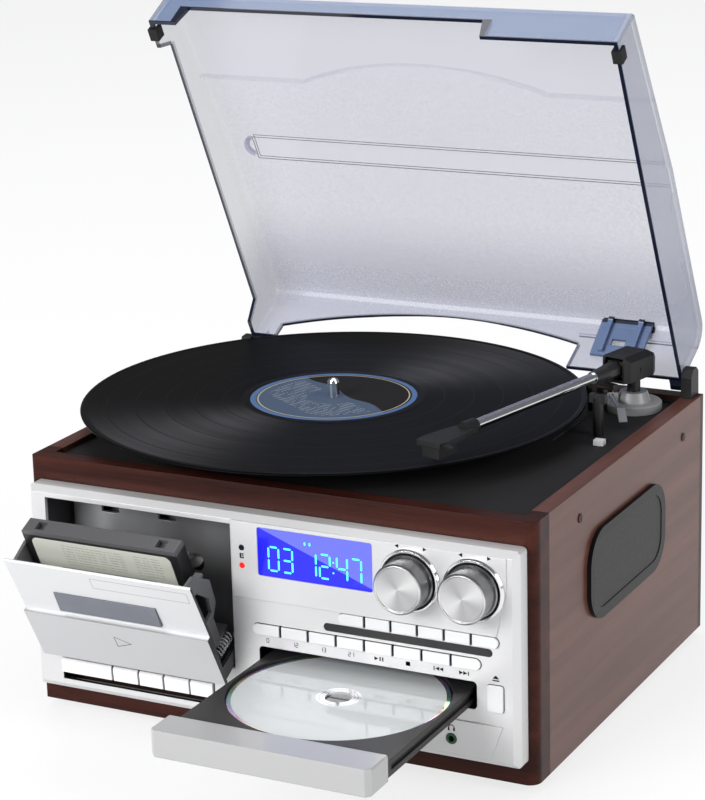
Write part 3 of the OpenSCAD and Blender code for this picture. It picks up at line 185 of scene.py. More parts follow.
def solid_of(shape, to=cabinet):
    """Turns a bmesh drawn in millimetres into a mesh in the model's metres."""
    bmesh.ops.transform(shape, matrix=to, verts=shape.verts)
    mesh = bpy.data.meshes.new("piece")
    shape.to_mesh(mesh)
    shape.free()
    return mesh


floor_shape = bmesh.new()
bmesh.ops.create_grid(floor_shape, x_segments=1, y_segments=1, size=9)
floor_paint = Paint("studio_floor")
plain = floor_paint.node("ShaderNodeBsdfDiffuse", None, (0.9, 0.9, 0.905, 1))
glow = floor_paint.node("ShaderNodeEmission", None, (1, 1, 1, 1), 1.06)
seen = floor_paint.seen_white("Is Glossy Ray", "Is Transmission Ray")
mixed = floor_paint.node("ShaderNodeMixShader", None, seen * 0.72, plain, glow)
floor_paint.output("Material Output", mixed)
floor = bpy.data.objects.new("studio_floor", solid_of(floor_shape, Matrix.Identity(4)))
floor.data.materials.append(floor_paint.material)
bpy.context.scene.collection.objects.link(floor)

world = bpy.data.worlds.new("studio")
bpy.context.scene.world = world
sky = Tree(world)
glossy = sky.node("ShaderNodeLightPath", out="Is Glossy Ray")
ambient = sky.node("ShaderNodeBackground", None, (0.97, 0.98, 1, 1), 0.34 - glossy * 0.16)
white = sky.node("ShaderNodeBackground", None, (1, 1, 1, 1), 1.0)
seen = sky.seen_white("Is Transmission Ray")
sky.output("World Output", sky.node("ShaderNodeMixShader", None, seen, ambient, white))


def soft_lamp(name, place, aim, size, power):
    lamp = bpy.data.objects.new(name, bpy.data.lights.new(name, "AREA"))
    lamp.data.shape, lamp.data.size, lamp.data.size_y = "RECTANGLE", *size
    lamp.data.energy = power
    lamp.location = place
    lamp.rotation_euler = (Vector(aim) - Vector(place)).to_track_quat("-Z", "Y").to_euler()
    bpy.context.scene.collection.objects.link(lamp)


soft_lamp("key_lamp", (-1.2, -3.0, 1.5), (0, 0, 0.1), (2.0, 1.6), 112)
soft_lamp("side_lamp", (3.0, -0.4, 1.3), (0, 0, 0.1), (1.4, 1.6), 40)
soft_lamp("back_lamp", (-0.4, 1.2, 3.0), (0, 0, 0.15), (2.4, 1.4), 30)


def finish_of(paint, *nodes):
    for name in nodes:
        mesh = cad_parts[name].data
        mesh.materials.clear()
        mesh.materials.append(paint.material)


def piece(name, shape, paint, body):
    """A new piece of the object, drawn in millimetres on the cabinet."""
    made = bpy.data.objects.new(name, solid_of(shape))
    made.data.materials.append(paint.material)
    made.data.shade_flat()
    bpy.context.scene.collection.objects.link(made)
    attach(made, body)
    return made


# The wooden cabinet: boards with a glossy red mahogany finish. The grain runs along the front
# frame and along the sides, and the lacquer shows broad soft reflections.
def mahogany(name, along, dark, light, gloss):
    paint = Paint(name, Specular_IOR_Level=0.1 + gloss, Coat_Weight=gloss, Coat_Roughness=0.15)
    spot = paint.point()
    if along == "x":
        fibres = paint.stretch(spot, 0.02, 0.5, 0.5)
        bands = paint.stretch(spot, 0.004, 0.09, 0.09)
    else:
        fibres = paint.stretch(spot, 0.5, 0.02, 0.5)
        bands = paint.stretch(spot, 0.09, 0.004, 0.09)
    fine = paint.noise(fibres, 1.6, 5.0, 0.65)
    broad = paint.noise(bands, 1.0, 3.0, 0.5)
    pores = paint.noise(fibres, 4.5, 2.0, 0.5).rise(0.6, 0.72)
    tone = paint.mix((broad * 1.5 - 0.35 + (fine - 0.5) * 0.7).clip(), dark, light)
    paint.set("Base Color", paint.mix(pores * 0.45, tone, tuple(0.45 * c for c in dark)))
    paint.set("Roughness", 0.28 + fine * 0.12)
    paint.set("Normal", paint.bump(fine - pores * 0.6, 0.06, 0.4, paint.round_edges(0.8)))
    return paint


# Painted light: one mahogany in lit and shaded tones. The front frame is painted darker as shade, and the
# side boards lighter as painted sheen.
front_wood_painted_shade = mahogany("front_wood_painted_shade", "x", (0.014, 0.004, 0.003), (0.085, 0.02, 0.012), 0.02)
side_wood_painted_sheen = mahogany("side_wood_painted_sheen", "y", (0.07, 0.023, 0.015), (0.17, 0.066, 0.045), 0.13)
back_wood = mahogany("back_wood", "x", (0.03, 0.012, 0.009), (0.06, 0.025, 0.018), 0.05)
finish_of(front_wood_painted_shade, "front_frame")
finish_of(side_wood_painted_sheen, "side_boards")
finish_of(back_wood, "back_panel", "base_board")


# Screws, feet, lid bumpers and belt: small plain parts. The screws are browned steel, and the
# rest is moulded black rubber with a dull skin.
def mottled(name, dark, light, rough, metal=0.0, grain=3.0, depth=0.03):
    """A plain finish whose colour, gloss and surface vary a little, as moulded or cast parts do."""
    paint = Paint(name, Metallic=metal, Specular_IOR_Level=0.3)
    mottle = paint.noise(paint.point(), grain, 3.0, 0.6)
    paint.set("Base Color", paint.mix(mottle, dark, light))
    paint.set("Roughness", rough + mottle * 0.15)
    paint.set("Normal", paint.bump(mottle, depth, 0.4, paint.round_edges(0.3)))
    return paint


browned_steel = mottled("dark_screws", (0.035, 0.02, 0.016), (0.075, 0.045, 0.038), 0.35, metal=0.6)
black_rubber = mottled("black_rubber", (0.008,) * 3, (0.018,) * 3, 0.65, depth=0.06)
finish_of(browned_steel, "screws")
finish_of(black_rubber, "feet", "lid_bumpers", "drive_belt")


# The deck: a charcoal moulded plate that lies in the wooden frame and carries the platter and
# the arm. Its mould was spark-eroded, which gives it a fine grain.
deck_paint = Paint("charcoal_deck", Specular_IOR_Level=0.09)
spot = deck_paint.point()
grain = deck_paint.noise(spot, 2.2, 3.0, 0.6)
deck_paint.set("Base Color", deck_paint.mix(grain, (0.014, 0.0135, 0.014), (0.032, 0.032, 0.034)))
deck_paint.set("Roughness", 0.42 + grain * 0.2)
deck_paint.set("Normal", deck_paint.bump(grain, 0.08, 0.5, deck_paint.round_edges(0.5)))
finish_of(deck_paint, "deck_plate")


# The platter and the record. The record is pressed black vinyl: grooves in bands with smooth
# gaps between the tracks, and in its middle a paper label, half navy and half black.
platter_centre = 127.0, 134.6


def away_from(centre, across, along):
    """The way from a centre in both directions, and its length."""
    dx, dy = across - centre[0], along - centre[1]
    return dx, dy, (dx * dx + dy * dy) ** 0.5


platter_paint = Paint("platter_black")
x, y, z = platter_paint.split(platter_paint.point())
_, _, far = away_from(platter_centre, x, y)
spindle = far < 4.5
platter_paint.set("Metallic", spindle)
platter_paint.set("Base Color", platter_paint.mix(spindle, (0.018, 0.018, 0.02), (0.8, 0.8, 0.82)))
platter_paint.set("Roughness", 0.5 - spindle * 0.35)
finish_of(platter_paint, "platter")

vinyl = Paint("pressed_vinyl", Specular_IOR_Level=0.06)
x, y, z = vinyl.split(vinyl.point())
dx, dy, far = away_from(platter_centre, x, y)
ring = vinyl.node("ShaderNodeCombineXYZ", None, far, 0.0, 0.0)
groove = vinyl.noise(ring, 2.6, 2.0, 0.6)
tracks = vinyl.noise(ring, 0.11, 1.0, 0.5)
track_width = 17.3
gap = (far * (1 / track_width) + 0.2).part().within(0.0, 0.05, 0.02)
on_label = 1 - far.rise(49.6, 50.0)
edge = far.rise(146.5, 147.2) + (1 - far.rise(52.5, 56.5))
grooved = (1 - edge.clip()) * (1 - gap * 0.7)
angle = vinyl.node("ShaderNodeMath", {"operation": "ARCTAN2"}, dy, dx)
slanted = dx * 0.55 + dy * 0.83
black_half = (slanted + (dx * 0.16).sin() * 2.0).rise(8.0, 8.6)
rim_line = far.within(44.8, 45.6, 0.1) + far.within(47.6, 48.1, 0.1)
row = (dy * 0.35 + dx * 0.05).part().within(0.3, 0.55, 0.05)
words = row * far.within(16.0, 40.0, 0.3) * slanted.within(-30.0, 2.0, 0.3)
words = words * (vinyl.noise(vinyl.stretch(vinyl.point(), 0.5, 0.1, 0.1), 1.0, 1.0) > 0.47)
paper = vinyl.mix(black_half, (0.085, 0.12, 0.185), (0.02, 0.018, 0.018))
paper = vinyl.mix((words * 0.6).clip(), paper, (0.5, 0.52, 0.55))
paper = vinyl.mix(rim_line.clip(), paper, (0.5, 0.45, 0.3))
paper = vinyl.mix(far.rise(46.5, 46.9), paper, (0.10, 0.18, 0.36))
# A painted sheen: two bright fans across the grooves at fixed angles, put in the colour for the light the
# grooves catch.
painted_sheen_fan = ((angle * 2.0 - 0.7).sin() * 0.5 + 0.5) ** 7.0 * grooved
black = vinyl.mix(groove, (0.001, 0.001, 0.0013), (0.004, 0.004, 0.0048))
black = vinyl.mix((painted_sheen_fan * (0.35 + tracks)).clip(), black, (0.06, 0.06, 0.065))
vinyl.set("Base Color", vinyl.mix(on_label, black, paper))
vinyl.set("Roughness", 0.3 + grooved * 0.12 + on_label * 0.3)
vinyl.set("Normal", vinyl.bump(groove * grooved * (1 - on_label), 0.05, 0.7))
finish_of(vinyl, "record")

finish_of(mottled("turned_brass", (0.62, 0.46, 0.2), (0.78, 0.6, 0.28), 0.2, 1.0), "motor_pulley")


# The tonearm: a black moulded block and neck with a bright tube and a black shell. It turns on
# a post, and its foot is a light grey disc. The hinge blocks and the disc mechanism are black too.
black_paint = Paint("black_moulding", Specular_IOR_Level=0.3)
spot = black_paint.point()
mottle = black_paint.noise(spot, 1.5, 3.0, 0.6)
black_paint.set("Base Color", black_paint.mix(mottle, (0.006, 0.006, 0.0065), (0.016, 0.016, 0.0175)))
black_paint.set("Roughness", 0.38 + mottle * 0.15)
black_paint.set("Normal", black_paint.bump(mottle, 0.05, 0.4, black_paint.round_edges(0.4)))
finish_of(black_paint, "tonearm_block", "headshell", "hinge_blocks", "disc_mechanism")

# The tube is bright from where it leaves the black neck.
arm_pivot = 281.0, 229.0
tube_paint = Paint("bright_tube")
x, y, z = tube_paint.split(tube_paint.point())
_, _, from_pivot = away_from(arm_pivot, x, y)
bright = from_pivot.rise(43.6, 43.8)
tube_paint.set("Base Color", tube_paint.mix(bright, (0.014, 0.014, 0.015), (0.75, 0.76, 0.78)))
tube_paint.set("Metallic", bright)
tube_paint.set("Roughness", 0.42 - bright * 0.25)
finish_of(tube_paint, "tonearm_tube")

base_paint = Paint("arm_base_grey")
x, y, z = base_paint.split(base_paint.point())
_, _, from_pivot = away_from(arm_pivot, x, y)
light = from_pivot.within(4.3, 17.2, 0.1) * (1 - z.rise(157.2, 157.6))
base_paint.set("Base Color", base_paint.mix(light, (0.010, 0.010, 0.011), (0.30, 0.30, 0.305)))
base_paint.set("Roughness", 0.4 - light * 0.08)
finish_of(base_paint, "tonearm_base")

# Small metal and white parts: the cue lever, the motor and the cassette mechanism are dull
# steel, the door's spring is bright wire, and the switch and the reels are white mouldings.
steel_paint = mottled("plain_steel", (0.48, 0.49, 0.51), (0.62, 0.63, 0.65), 0.24, 0.9)
finish_of(steel_paint, "cue_lever", "turntable_motor", "cassette_mechanism")
spring_paint = mottled("spring_wire", (0.7, 0.7, 0.71), (0.86, 0.86, 0.87), 0.15, 0.9)
finish_of(spring_paint, "door_spring")
white_paint = mottled("white_moulding", (0.70, 0.70, 0.71), (0.78, 0.78, 0.79), 0.35)
finish_of(white_paint, "speed_switch", "supply_reel", "takeup_reel")


# The lid: clear smoke-blue plastic. Its sheet is nearly colourless when one looks straight through it,
# and navy along its edges, where the light runs the long way through the plastic: that navy, the
# denser walls and the dark lines at its edges are painted into its colour and alpha.
lid_hinge, lid_angle = (256.5, 155.5), math.radians(63.4)
lid_paint = Paint("smoked_clear", IOR=1.5)
spot = lid_paint.point(lid_hinge, lid_angle)
x, y, z = lid_paint.split(spot)
# Masks for painted light: the walls and the front, and dark lines along the lower rim, arch, notch, left
# cut, ledge and tab tip, where light bends at the plastic's edges.
left, right_wall = 1 - x.rise(9.3, 9.7), x.rise(302.0, 302.4)
front, rear = 1 - y.rise(5.4, 5.8), y.rise(246.5, 249.0)
_, _, from_arch = away_from((142.0, -126.0), x, z)
arch_edge = (1 - from_arch.rise(312.5, 313.2)) * rear * x.within(24.0, 230.0)
notch_edge = (1 - z.rise(166.4, 167.0)) * front * x.within(22.0, 225.0)
front_slant = (y - 19.0 - (z - 145.0) * 0.5) * 0.9
rear_slant = (242.0 - (z - 145.0) * 0.6 - y) * 0.86
from_cut = (165.0 - z).least(front_slant).least(rear_slant)
left_edge = from_cut.rise(-2.2, -1.6) * left
ledge = z.within(181.4, 182.6, 0.2) * rear * x.rise(226.0, 227.0)
edge = 1 - z.rise(152.0, 152.6)
tab = x.within(240.8, 274.2) * y.within(236.0, 247.5) * z.within(160.0, 192.0)
tip = tab * z.rise(187.0, 187.5)
painted_dark_edges = (edge + arch_edge + notch_edge + left_edge + ledge + tip).clip()

# The long recess across the sheet has thin painted dark edges, and the frosted field ends in a low arc.
band = (x - 27.0).least(y - 116.0).least(133.0 - y)
band_line = band.within(-0.35, 0.35, 0.12) * z.rise(184.0, 185.0) * (1 - x.rise(301.0, 301.3))
_, _, from_end = away_from((27.0, 124.5), x, y)
band_end = from_end.within(5.2, 8.0, 0.4) * (1 - x.rise(24.0, 25.5)) * z.rise(184.0, 185.0)
_, _, from_brow = away_from((159.5, 248.0), x, y)
field = (199.0 - from_brow).most(y - 66.0)
brow = field.within(0.0, 2.2, 0.8) * z.rise(183.0, 184.0)
frost = field.rise(-0.3, 0.6) * (1 - band.rise(-0.5, 0.0)) * z.rise(183.0, 184.0) * (1 - rear)
grain = lid_paint.noise(spot, 0.55, 3.0, 0.6)
# Painted opacity: the walls, the front, the tab, the rear and the field's brow are made denser, as clear
# plastic looks seen edge-on.
painted_opacity = left * -0.03 + right_wall * 0.27 + front * 0.38 + tab * 0.4
painted_opacity = painted_opacity + y.rise(165.0, 235.0) * 0.2 + brow * 0.12
tint = lid_paint.mix((front + tab).clip(), (0.34, 0.36, 0.50), (0.16, 0.23, 0.40))
tint = lid_paint.mix((left + right_wall).clip() * 0.7, tint, (0.24, 0.26, 0.33))
lid_paint.set("Base Color", lid_paint.mix((painted_dark_edges + band_line).clip(), tint, (0.008, 0.012, 0.03)))
lines = painted_dark_edges * 0.62 + (band_line + band_end) * 0.5
lid_paint.set("Alpha", (0.235 + painted_opacity + frost * (grain - 0.45) * 0.14 + lines).clip())
lid_paint.set("Roughness", 0.08 + frost * 0.2)
lid_paint.set("Normal", lid_paint.bump(grain, 0.1, frost * 0.4))
finish_of(lid_paint, "lid")


# The silver front: a moulding painted in satin silver, screwed to the frame's inside. The insides of
# its slots and gaps, the face behind each knob and its edge at the wood are painted near black as
# shade, a bar between the button rows and a printed square sign are dark, and a bright ring lies round each
# knob.
silver = Paint("satin_silver")
spot = silver.point()
x, y, z = silver.split(spot)
flakes = silver.noise(spot, 9.0, 2.0, 0.5)
broad = silver.noise(spot, 0.012, 1.0, 0.5)
bar = x.within(193.9, 294.6, 0.1) * z.within(76.2, 81.1, 0.1) * y.rise(-12.7, -12.5)
upper_row = x.within(203.2, 298.8, 0.1) * z.within(81.5, 88.7, 0.1)
lower_row = x.within(149.7, 288.3, 0.1) * z.within(67.7, 74.9, 0.1)
tray_slot = x.within(152.9, 285.5, 0.1) * z.within(44.9, 61.2, 0.1)
open_gap = x.within(291.1, 301.4, 0.1) * z.within(45.3, 61.5, 0.1)
keys_gap = x.within(21.5, 124.0, 0.1) * z.within(19.5, 34.0, 0.1)
gaps = upper_row + lower_row + (tray_slot + open_gap) + keys_gap
painted_slot_shade = gaps * y.rise(-12.5, -12.3) * (1 - y.rise(-9.6, -9.4))
left_knob, right_knob = (247.0, 113.1), (284.4, 113.1)


def from_nearer_knob(x, z):
    """The way from the middle of the nearer knob, across and up, and its length."""
    at_right = x > (left_knob[0] + right_knob[0]) / 2
    return away_from(left_knob, x + at_right * (left_knob[0] - right_knob[0]), z)


_, _, from_knob = from_nearer_knob(x, z)
painted_shade_behind_knob = (1 - from_knob.rise(15.5, 15.7)) * y.rise(-20.0, -19.0)
chrome = from_knob.within(15.6, 18.2, 0.1) * (1 - y.rise(-13.75, -13.65))
from_square = (x - 143.4).least(146.0 - x).least(z - 111.5).least(114.5 - z)
square = from_square.rise(-0.1, 0.1) * (1 - y.rise(-12.0, -11.8))
painted_shade_at_wood = y.rise(-0.9, -0.7)
square = square * (1 - from_square.within(0.55, 0.95, 0.1))
# dark joins painted shade (slot insides, the face behind the knobs, the edge at the wood) with the bar and
# the printed square.
dark = (bar + painted_slot_shade + painted_shade_behind_knob + square + painted_shade_at_wood).clip()
tone = silver.mix((flakes * 0.6 + broad * 0.5 - 0.05).clip(), (0.61, 0.61, 0.615), (0.74, 0.74, 0.745))
tone = silver.mix(chrome, tone, (0.85, 0.85, 0.86))
silver.set("Base Color", silver.mix(dark, tone, (0.006, 0.006, 0.007)))
silver.set("Metallic", (0.3 + chrome * 0.7) * (1 - dark))
silver.set("Roughness", 0.32 + flakes * 0.1 - chrome * 0.22)
silver.set("Normal", silver.bump(flakes, 0.02, 0.3, silver.round_edges(0.4)))
finish_of(silver, "front_panel")

# The cassette opening is lined with bare grey metal. Its colour holds painted light: lighter at
# its left and high up, with a streaky painted sheen, and darker low down. It is near black at its far left
# end.
well_paint = Paint("well_grey", Metallic=0.5, Roughness=0.32)
spot = well_paint.point()
x, y, z = well_paint.split(spot)
painted_sheen = well_paint.noise(well_paint.stretch(spot, 0.03, 0.03, 0.012), 1.0, 2.0, 0.5)
light = (1 - x.rise(25.0, 95.0)) * 0.55 + (painted_sheen - 0.5) * 0.7 + z.rise(50.0, 130.0) * 0.3
tone = well_paint.mix(light.clip(), (0.12, 0.12, 0.125), (0.6, 0.605, 0.615))
tone = well_paint.mix(1 - x.rise(17.0, 17.6), tone, (0.05, 0.05, 0.055))
well_paint.set("Base Color", tone)
well_paint.set("Normal", well_paint.bump(painted_sheen, 0.1, 0.2, well_paint.round_edges(0.6)))
finish_of(well_paint, "cassette_well")

# The push buttons and the piano keys: silver and near-white mouldings that stand in slots; their
# sides are painted dark as the shade in the slots.
button_paint = Paint("button_silver", Metallic=0.2, Roughness=0.3)
spot = button_paint.point()
x, y, z = button_paint.split(spot)
painted_side_shade = y.rise(-13.4, -12.9)
flakes = button_paint.noise(spot, 9.0, 2.0, 0.5)
tone = button_paint.mix(flakes, (0.72, 0.725, 0.735), (0.80, 0.805, 0.815))
button_paint.set("Base Color", button_paint.mix(painted_side_shade, tone, (0.02, 0.02, 0.022)))
button_paint.set("Normal", button_paint.round_edges(0.5))
finish_of(button_paint, "open_button", *[f"source_button_{i}" for i in range(1, 7)])
finish_of(button_paint, *[f"play_button_{i}" for i in range(1, 9)])
key_paint = Paint("key_silver", Metallic=0.0, Roughness=0.3)
spot = key_paint.point()
x, y, z = key_paint.split(spot)
painted_side_shade = y.rise(-13.0, -12.4)
tone = key_paint.mix(key_paint.noise(spot, 6.0, 2.0, 0.5), (0.86, 0.86, 0.865), (0.93, 0.93, 0.935))
key_paint.set("Base Color", key_paint.mix(painted_side_shade, tone, (0.02, 0.02, 0.022)))
key_paint.set("Normal", key_paint.round_edges(0.5))
finish_of(key_paint, *[f"piano_key_{i}" for i in range(1, 6)])

# The display: a blue lit field behind a clear window, with a painted lighter corner standing for
# the window's shine, and beside it a black strip with a red lamp.
display_paint = Paint("lit_display", Roughness=0.12)
x, y, z = display_paint.split(display_paint.point())
painted_glare = ((x - 154.6) * (26.5 / 70.4) + z - 131.0).rise(-0.3, 0.3)
blue = display_paint.mix(painted_glare, (0.0, 0.0, 1.0), (0.165, 0.195, 1.0))
lamp = 1 - x.rise(149.0, 149.5)
red = lamp * (1 - z.rise(111.0, 111.5))
display_paint.set("Base Color", display_paint.mix(red, (0.01, 0.01, 0.02), (0.7, 0.01, 0.01)))
lit = display_paint.mix(lamp, blue, (0, 0, 0))
display_paint.set("Emission Color", display_paint.mix(red, lit, (0.9, 0.02, 0.01)))
display_paint.set("Emission Strength", 0.95)
finish_of(display_paint, "display_window")

# Digits of the display: thin lit bars, seven to a digit, that show a track number and a time.
# Each bar has pointed ends and stands just in front of the blue field.
digit_paint = Paint("lit_digits", Base_Color=(0.1, 0.5, 0.5), Roughness=0.3)
digit_paint.set("Emission Color", (0.2, 0.95, 1.0))
digit_paint.set("Emission Strength", 0.9)
bars = {"0": "abcdef", "1": "bc", "2": "abged", "3": "abgcd", "4": "fgbc", "5": "afgcd", "7": "abc"}
digit_front = -13.2
digits = bmesh.new()


def digit_bar(x, z, length, standing):
    """One bar with pointed ends."""
    half, thick = length / 2, 0.55
    upper = [(-half, 0), (-half + thick, thick), (half - thick, thick)]
    outline = upper + [(-a, -b) for a, b in upper]
    if standing:
        outline = [(b, a) for a, b in outline]
    digits.faces.new([digits.verts.new((x + a, digit_front, z + b)) for a, b in outline])


def bar_places(number, wide, high):
    """Where each bar of a number lies from the number's middle, and whether it stands."""
    for bar in bars[number]:
        if bar in "adg":
            yield 0, {"a": high / 2, "g": 0, "d": -high / 2}[bar], False
        else:
            yield (wide / 2 if bar in "bc" else -wide / 2), (high / 4 if bar in "bf" else -high / 4), True


digit_wide, digit_high = 6.2, 13.6
for place, number in ((164.5, "0"), (173.0, "3"), (187.5, "1"), (196.0, "2"), (206.5, "4"), (215.0, "7")):
    for across, rise, standing in bar_places(number, digit_wide, digit_high):
        length = digit_high / 2 - 0.8 if standing else digit_wide - 1.4
        digit_bar(place + across, 113.6 + rise, length, standing)
for rise in (110.6, 116.6):
    digit_bar(201.2, rise, 1.4, False)
for place in (184.0, 187.0):
    digit_bar(place, 125.0, 2.2, True)
bmesh.ops.solidify(digits, geom=digits.faces[:], thickness=0.08)
bmesh.ops.recalc_face_normals(digits, faces=digits.faces[:])
piece("display_digits", digits, digit_paint, "cabinet")


# Plain signs printed in black on the panel: arrowheads at the knobs, numbers over the source
# buttons, the usual signs for play, stop and skip, a headphone and an open sign.
print_paint = Paint("black_print", Roughness=0.5)
ink = print_paint.noise(print_paint.point(), 8.0)
print_paint.set("Base Color", print_paint.mix(ink, (0.01, 0.01, 0.01), (0.03, 0.03, 0.03)))
on_panel, on_raised = -12.85, -13.65
signs = bmesh.new()


def sign(x, z, corners, depth=on_panel):
    """A flat black shape, its corners given from the middle of the sign."""
    signs.faces.new([signs.verts.new((x + a, depth, z + b)) for a, b in corners])


def arrow(x, z, way, size=1.3, depth=on_panel):
    sign(x, z, [(way * size, 0), (-way * size * 0.8, size * 0.9), (-way * size * 0.8, -size * 0.9)], depth)


def block(x, z, w, h, depth=on_panel):
    sign(x, z, [(-w / 2, -h / 2), (w / 2, -h / 2), (w / 2, h / 2), (-w / 2, h / 2)], depth)


def small_number(x, z, signs_of, high=2.4):
    """Numbers drawn with short bars, as on the display."""
    wide, thick = 1.3, 0.36
    for place, number in enumerate(signs_of):
        middle = x + (place - (len(signs_of) - 1) / 2) * 2.0
        for across, rise, standing in bar_places(number, wide, high):
            block(middle + across, z + rise, *((thick, high / 2) if standing else (wide, thick)))


for x, way in ((239.8, -1), (256.2, 1), (277.1, -1), (293.4, 1)):
    arrow(x, 131.9, way, 1.25, on_raised)
for place, number in enumerate(("10", "20", "23", "24", "40", "50")):
    small_number(203.7 + 15.77 * (place + 0.45), 90.8, number)
for place, number in enumerate(("0", "12", "13", "21")):
    small_number(150.2 + 17.2 * (place + 0.5), 64.9, number)
sign_row = 65
for x, way in ((225.6, 1), (262.2, -1), (264.6, -1), (276.0, 1), (278.4, 1)):
    arrow(x, sign_row, way)
for x, wide in ((228.0, 0.8), (229.6, 0.8), (244.7, 2.6), (260.2, 0.6), (280.4, 0.6)):
    block(x, sign_row, wide, 2.4)
sign(296.3, 64.6, [(-2.0, 0), (2.0, 0), (0, 1.9)])
block(296.3, 63.6, 4.0, 0.7)
arch = [math.radians(a) for a in range(0, 181, 20)]
rim = [(2.0 * math.cos(a), 2.0 * math.sin(a)) for a in arch]
rim += [(1.5 * math.cos(a), 1.5 * math.sin(a)) for a in reversed(arch)]
sign(270.2, 32.4, rim, on_raised)
for x in (268.6, 271.8):
    block(x, 31.7, 1.0, 1.9, on_raised)
bmesh.ops.solidify(signs, geom=signs.faces[:], thickness=0.05)
bmesh.ops.recalc_face_normals(signs, faces=signs.faces[:])
piece("printed_signs", signs, print_paint, "cabinet")


# The knobs: turned aluminium, pushed on their shafts. The face has fine lathe lines in its bump
# and bright painted highlight wedges in its colour, and the side is darker.
knob_paint = Paint("spun_metal", Metallic=1.0, Roughness=0.28)
x, y, z = knob_paint.split(knob_paint.point())
dx, dz, far = from_nearer_knob(x, z)
angle = knob_paint.node("ShaderNodeMath", {"operation": "ARCTAN2"}, dz, dx)
face = 1 - y.rise(-29.2, -28.8)
painted_highlight_wedges = ((angle * 2.0 + 0.5).sin() * 0.5 + 0.5) ** 2.0 + ((angle * 5.0).sin() * 0.5 + 0.5) * 0.25
tone = knob_paint.mix((painted_highlight_wedges * face).clip(), (0.50, 0.50, 0.51), (0.90, 0.90, 0.90))
tone = knob_paint.mix(1 - face, tone, (0.29, 0.29, 0.295))
knob_paint.set("Base Color", tone)
lathe = knob_paint.noise(knob_paint.node("ShaderNodeCombineXYZ", None, far, 0.0, 0.0), 5.0, 2.0)
knob_paint.set("Normal", knob_paint.bump(lathe * face, 0.02, 0.5, knob_paint.round_edges(0.3)))
finish_of(knob_paint, "tuning_knob", "volume_knob")


# The cassette door: a silver moulding like the panel, with a smoked pane and a step across it. Below
# the step it is painted darker as shade, with a painted dark line of shade along the step, and its rear
# faces and right side are near black. It swings at its foot and carries the cassette.
door_pivot, door_angle = (-3.5, 22.5), math.radians(-25)
door_paint = Paint("door_silver")
spot = door_paint.point(door_pivot, door_angle)
x, y, z = door_paint.split(spot)
flakes = door_paint.noise(spot, 9.0, 2.0, 0.5)
pane = x.within(41.8, 108.3, 0.05) * z.within(86.2, 100.6, 0.05) * (1 - y.rise(-12.6, -12.3))
face = 1 - y.rise(-14.3, -14.0)
box_line = (x - 71.2).least(133.0 - x).least(z - 109.6).least(117.2 - z).within(-0.16, 0.16, 0.06)
narrowing = (x - 73.0) * 0.4
triangle = (x - 73.0).least(((72.0 - z) - narrowing) * 0.93).least(((z - 64.0) - narrowing) * 0.93)
painted_step_shade = z.within(82.2, 82.6, 0.1)
lines = (box_line * 0.6 + triangle.within(-0.22, 0.22, 0.06) + painted_step_shade * 0.5) * face
rear_side = (y.rise(-12.4, -12.0) + x.rise(136.75, 136.85)).clip()
tone = door_paint.mix(flakes, (0.66, 0.665, 0.675), (0.73, 0.735, 0.745))
# Painted shade: below the step the door is darker.
tone = door_paint.mix(1 - z.rise(82.0, 82.5), tone, (0.54, 0.545, 0.555))
tone = door_paint.mix((lines * (1 - pane)).clip(), tone, (0.015, 0.015, 0.016))
tone = door_paint.mix(rear_side, tone, (0.03, 0.03, 0.033))
clouds = door_paint.noise(door_paint.stretch(spot, 0.05, 0.05, 0.05), 1.0)
smoke = door_paint.mix(clouds, (0.12, 0.13, 0.16), (0.17, 0.18, 0.21))
door_paint.set("Base Color", door_paint.mix(pane, tone, smoke))
door_paint.set("Metallic", 0.25 - pane * 0.25)
door_paint.set("Roughness", 0.36 - pane * 0.24)
door_paint.set("Normal", door_paint.bump(flakes, 0.02, 0.2, door_paint.round_edges(0.4)))
finish_of(door_paint, "cassette_door")

# The cassette and its holder: a black shell with a bare label, in a grey bracket that is
# screwed inside the door.
holder_paint = mottled("holder_grey", (0.09, 0.09, 0.092), (0.15, 0.15, 0.153), 0.35)
finish_of(holder_paint, "cassette_holder")

cassette_paint = Paint("cassette_shell")
spot = cassette_paint.point(door_pivot, door_angle)
x, y, z = cassette_paint.split(spot)
on_front = 1 - y.rise(1.85, 1.95)
label = x.within(24.5, 115.3) * z.within(83.0, 124.5) * on_front
window = x.within(39.0, 101.0) * z.within(88.2, 103.4)
columns = x.within(44.0, 84.0) + x.within(91.0, 108.0)
rows = (z * 0.5).part().within(0.2, 0.42, 0.05) * z.within(106.5, 121.5) * columns
rows = rows * (cassette_paint.noise(cassette_paint.stretch(spot, 0.7, 0.1, 0.1), 1.0, 1.0) > 0.42)
paper = cassette_paint.mix((rows * 0.55).clip(), (0.60, 0.61, 0.54), (0.10, 0.10, 0.10))
shell = cassette_paint.mix(z.rise(125.4, 125.7), (0.012, 0.012, 0.013), (0.09, 0.09, 0.095))
cassette_paint.set("Base Color", cassette_paint.mix((label * (1 - window)).clip(), shell, paper))
cassette_paint.set("Roughness", 0.28 + label * 0.3)
cassette_paint.set("Normal", cassette_paint.round_edges(0.4))
finish_of(cassette_paint, "cassette")


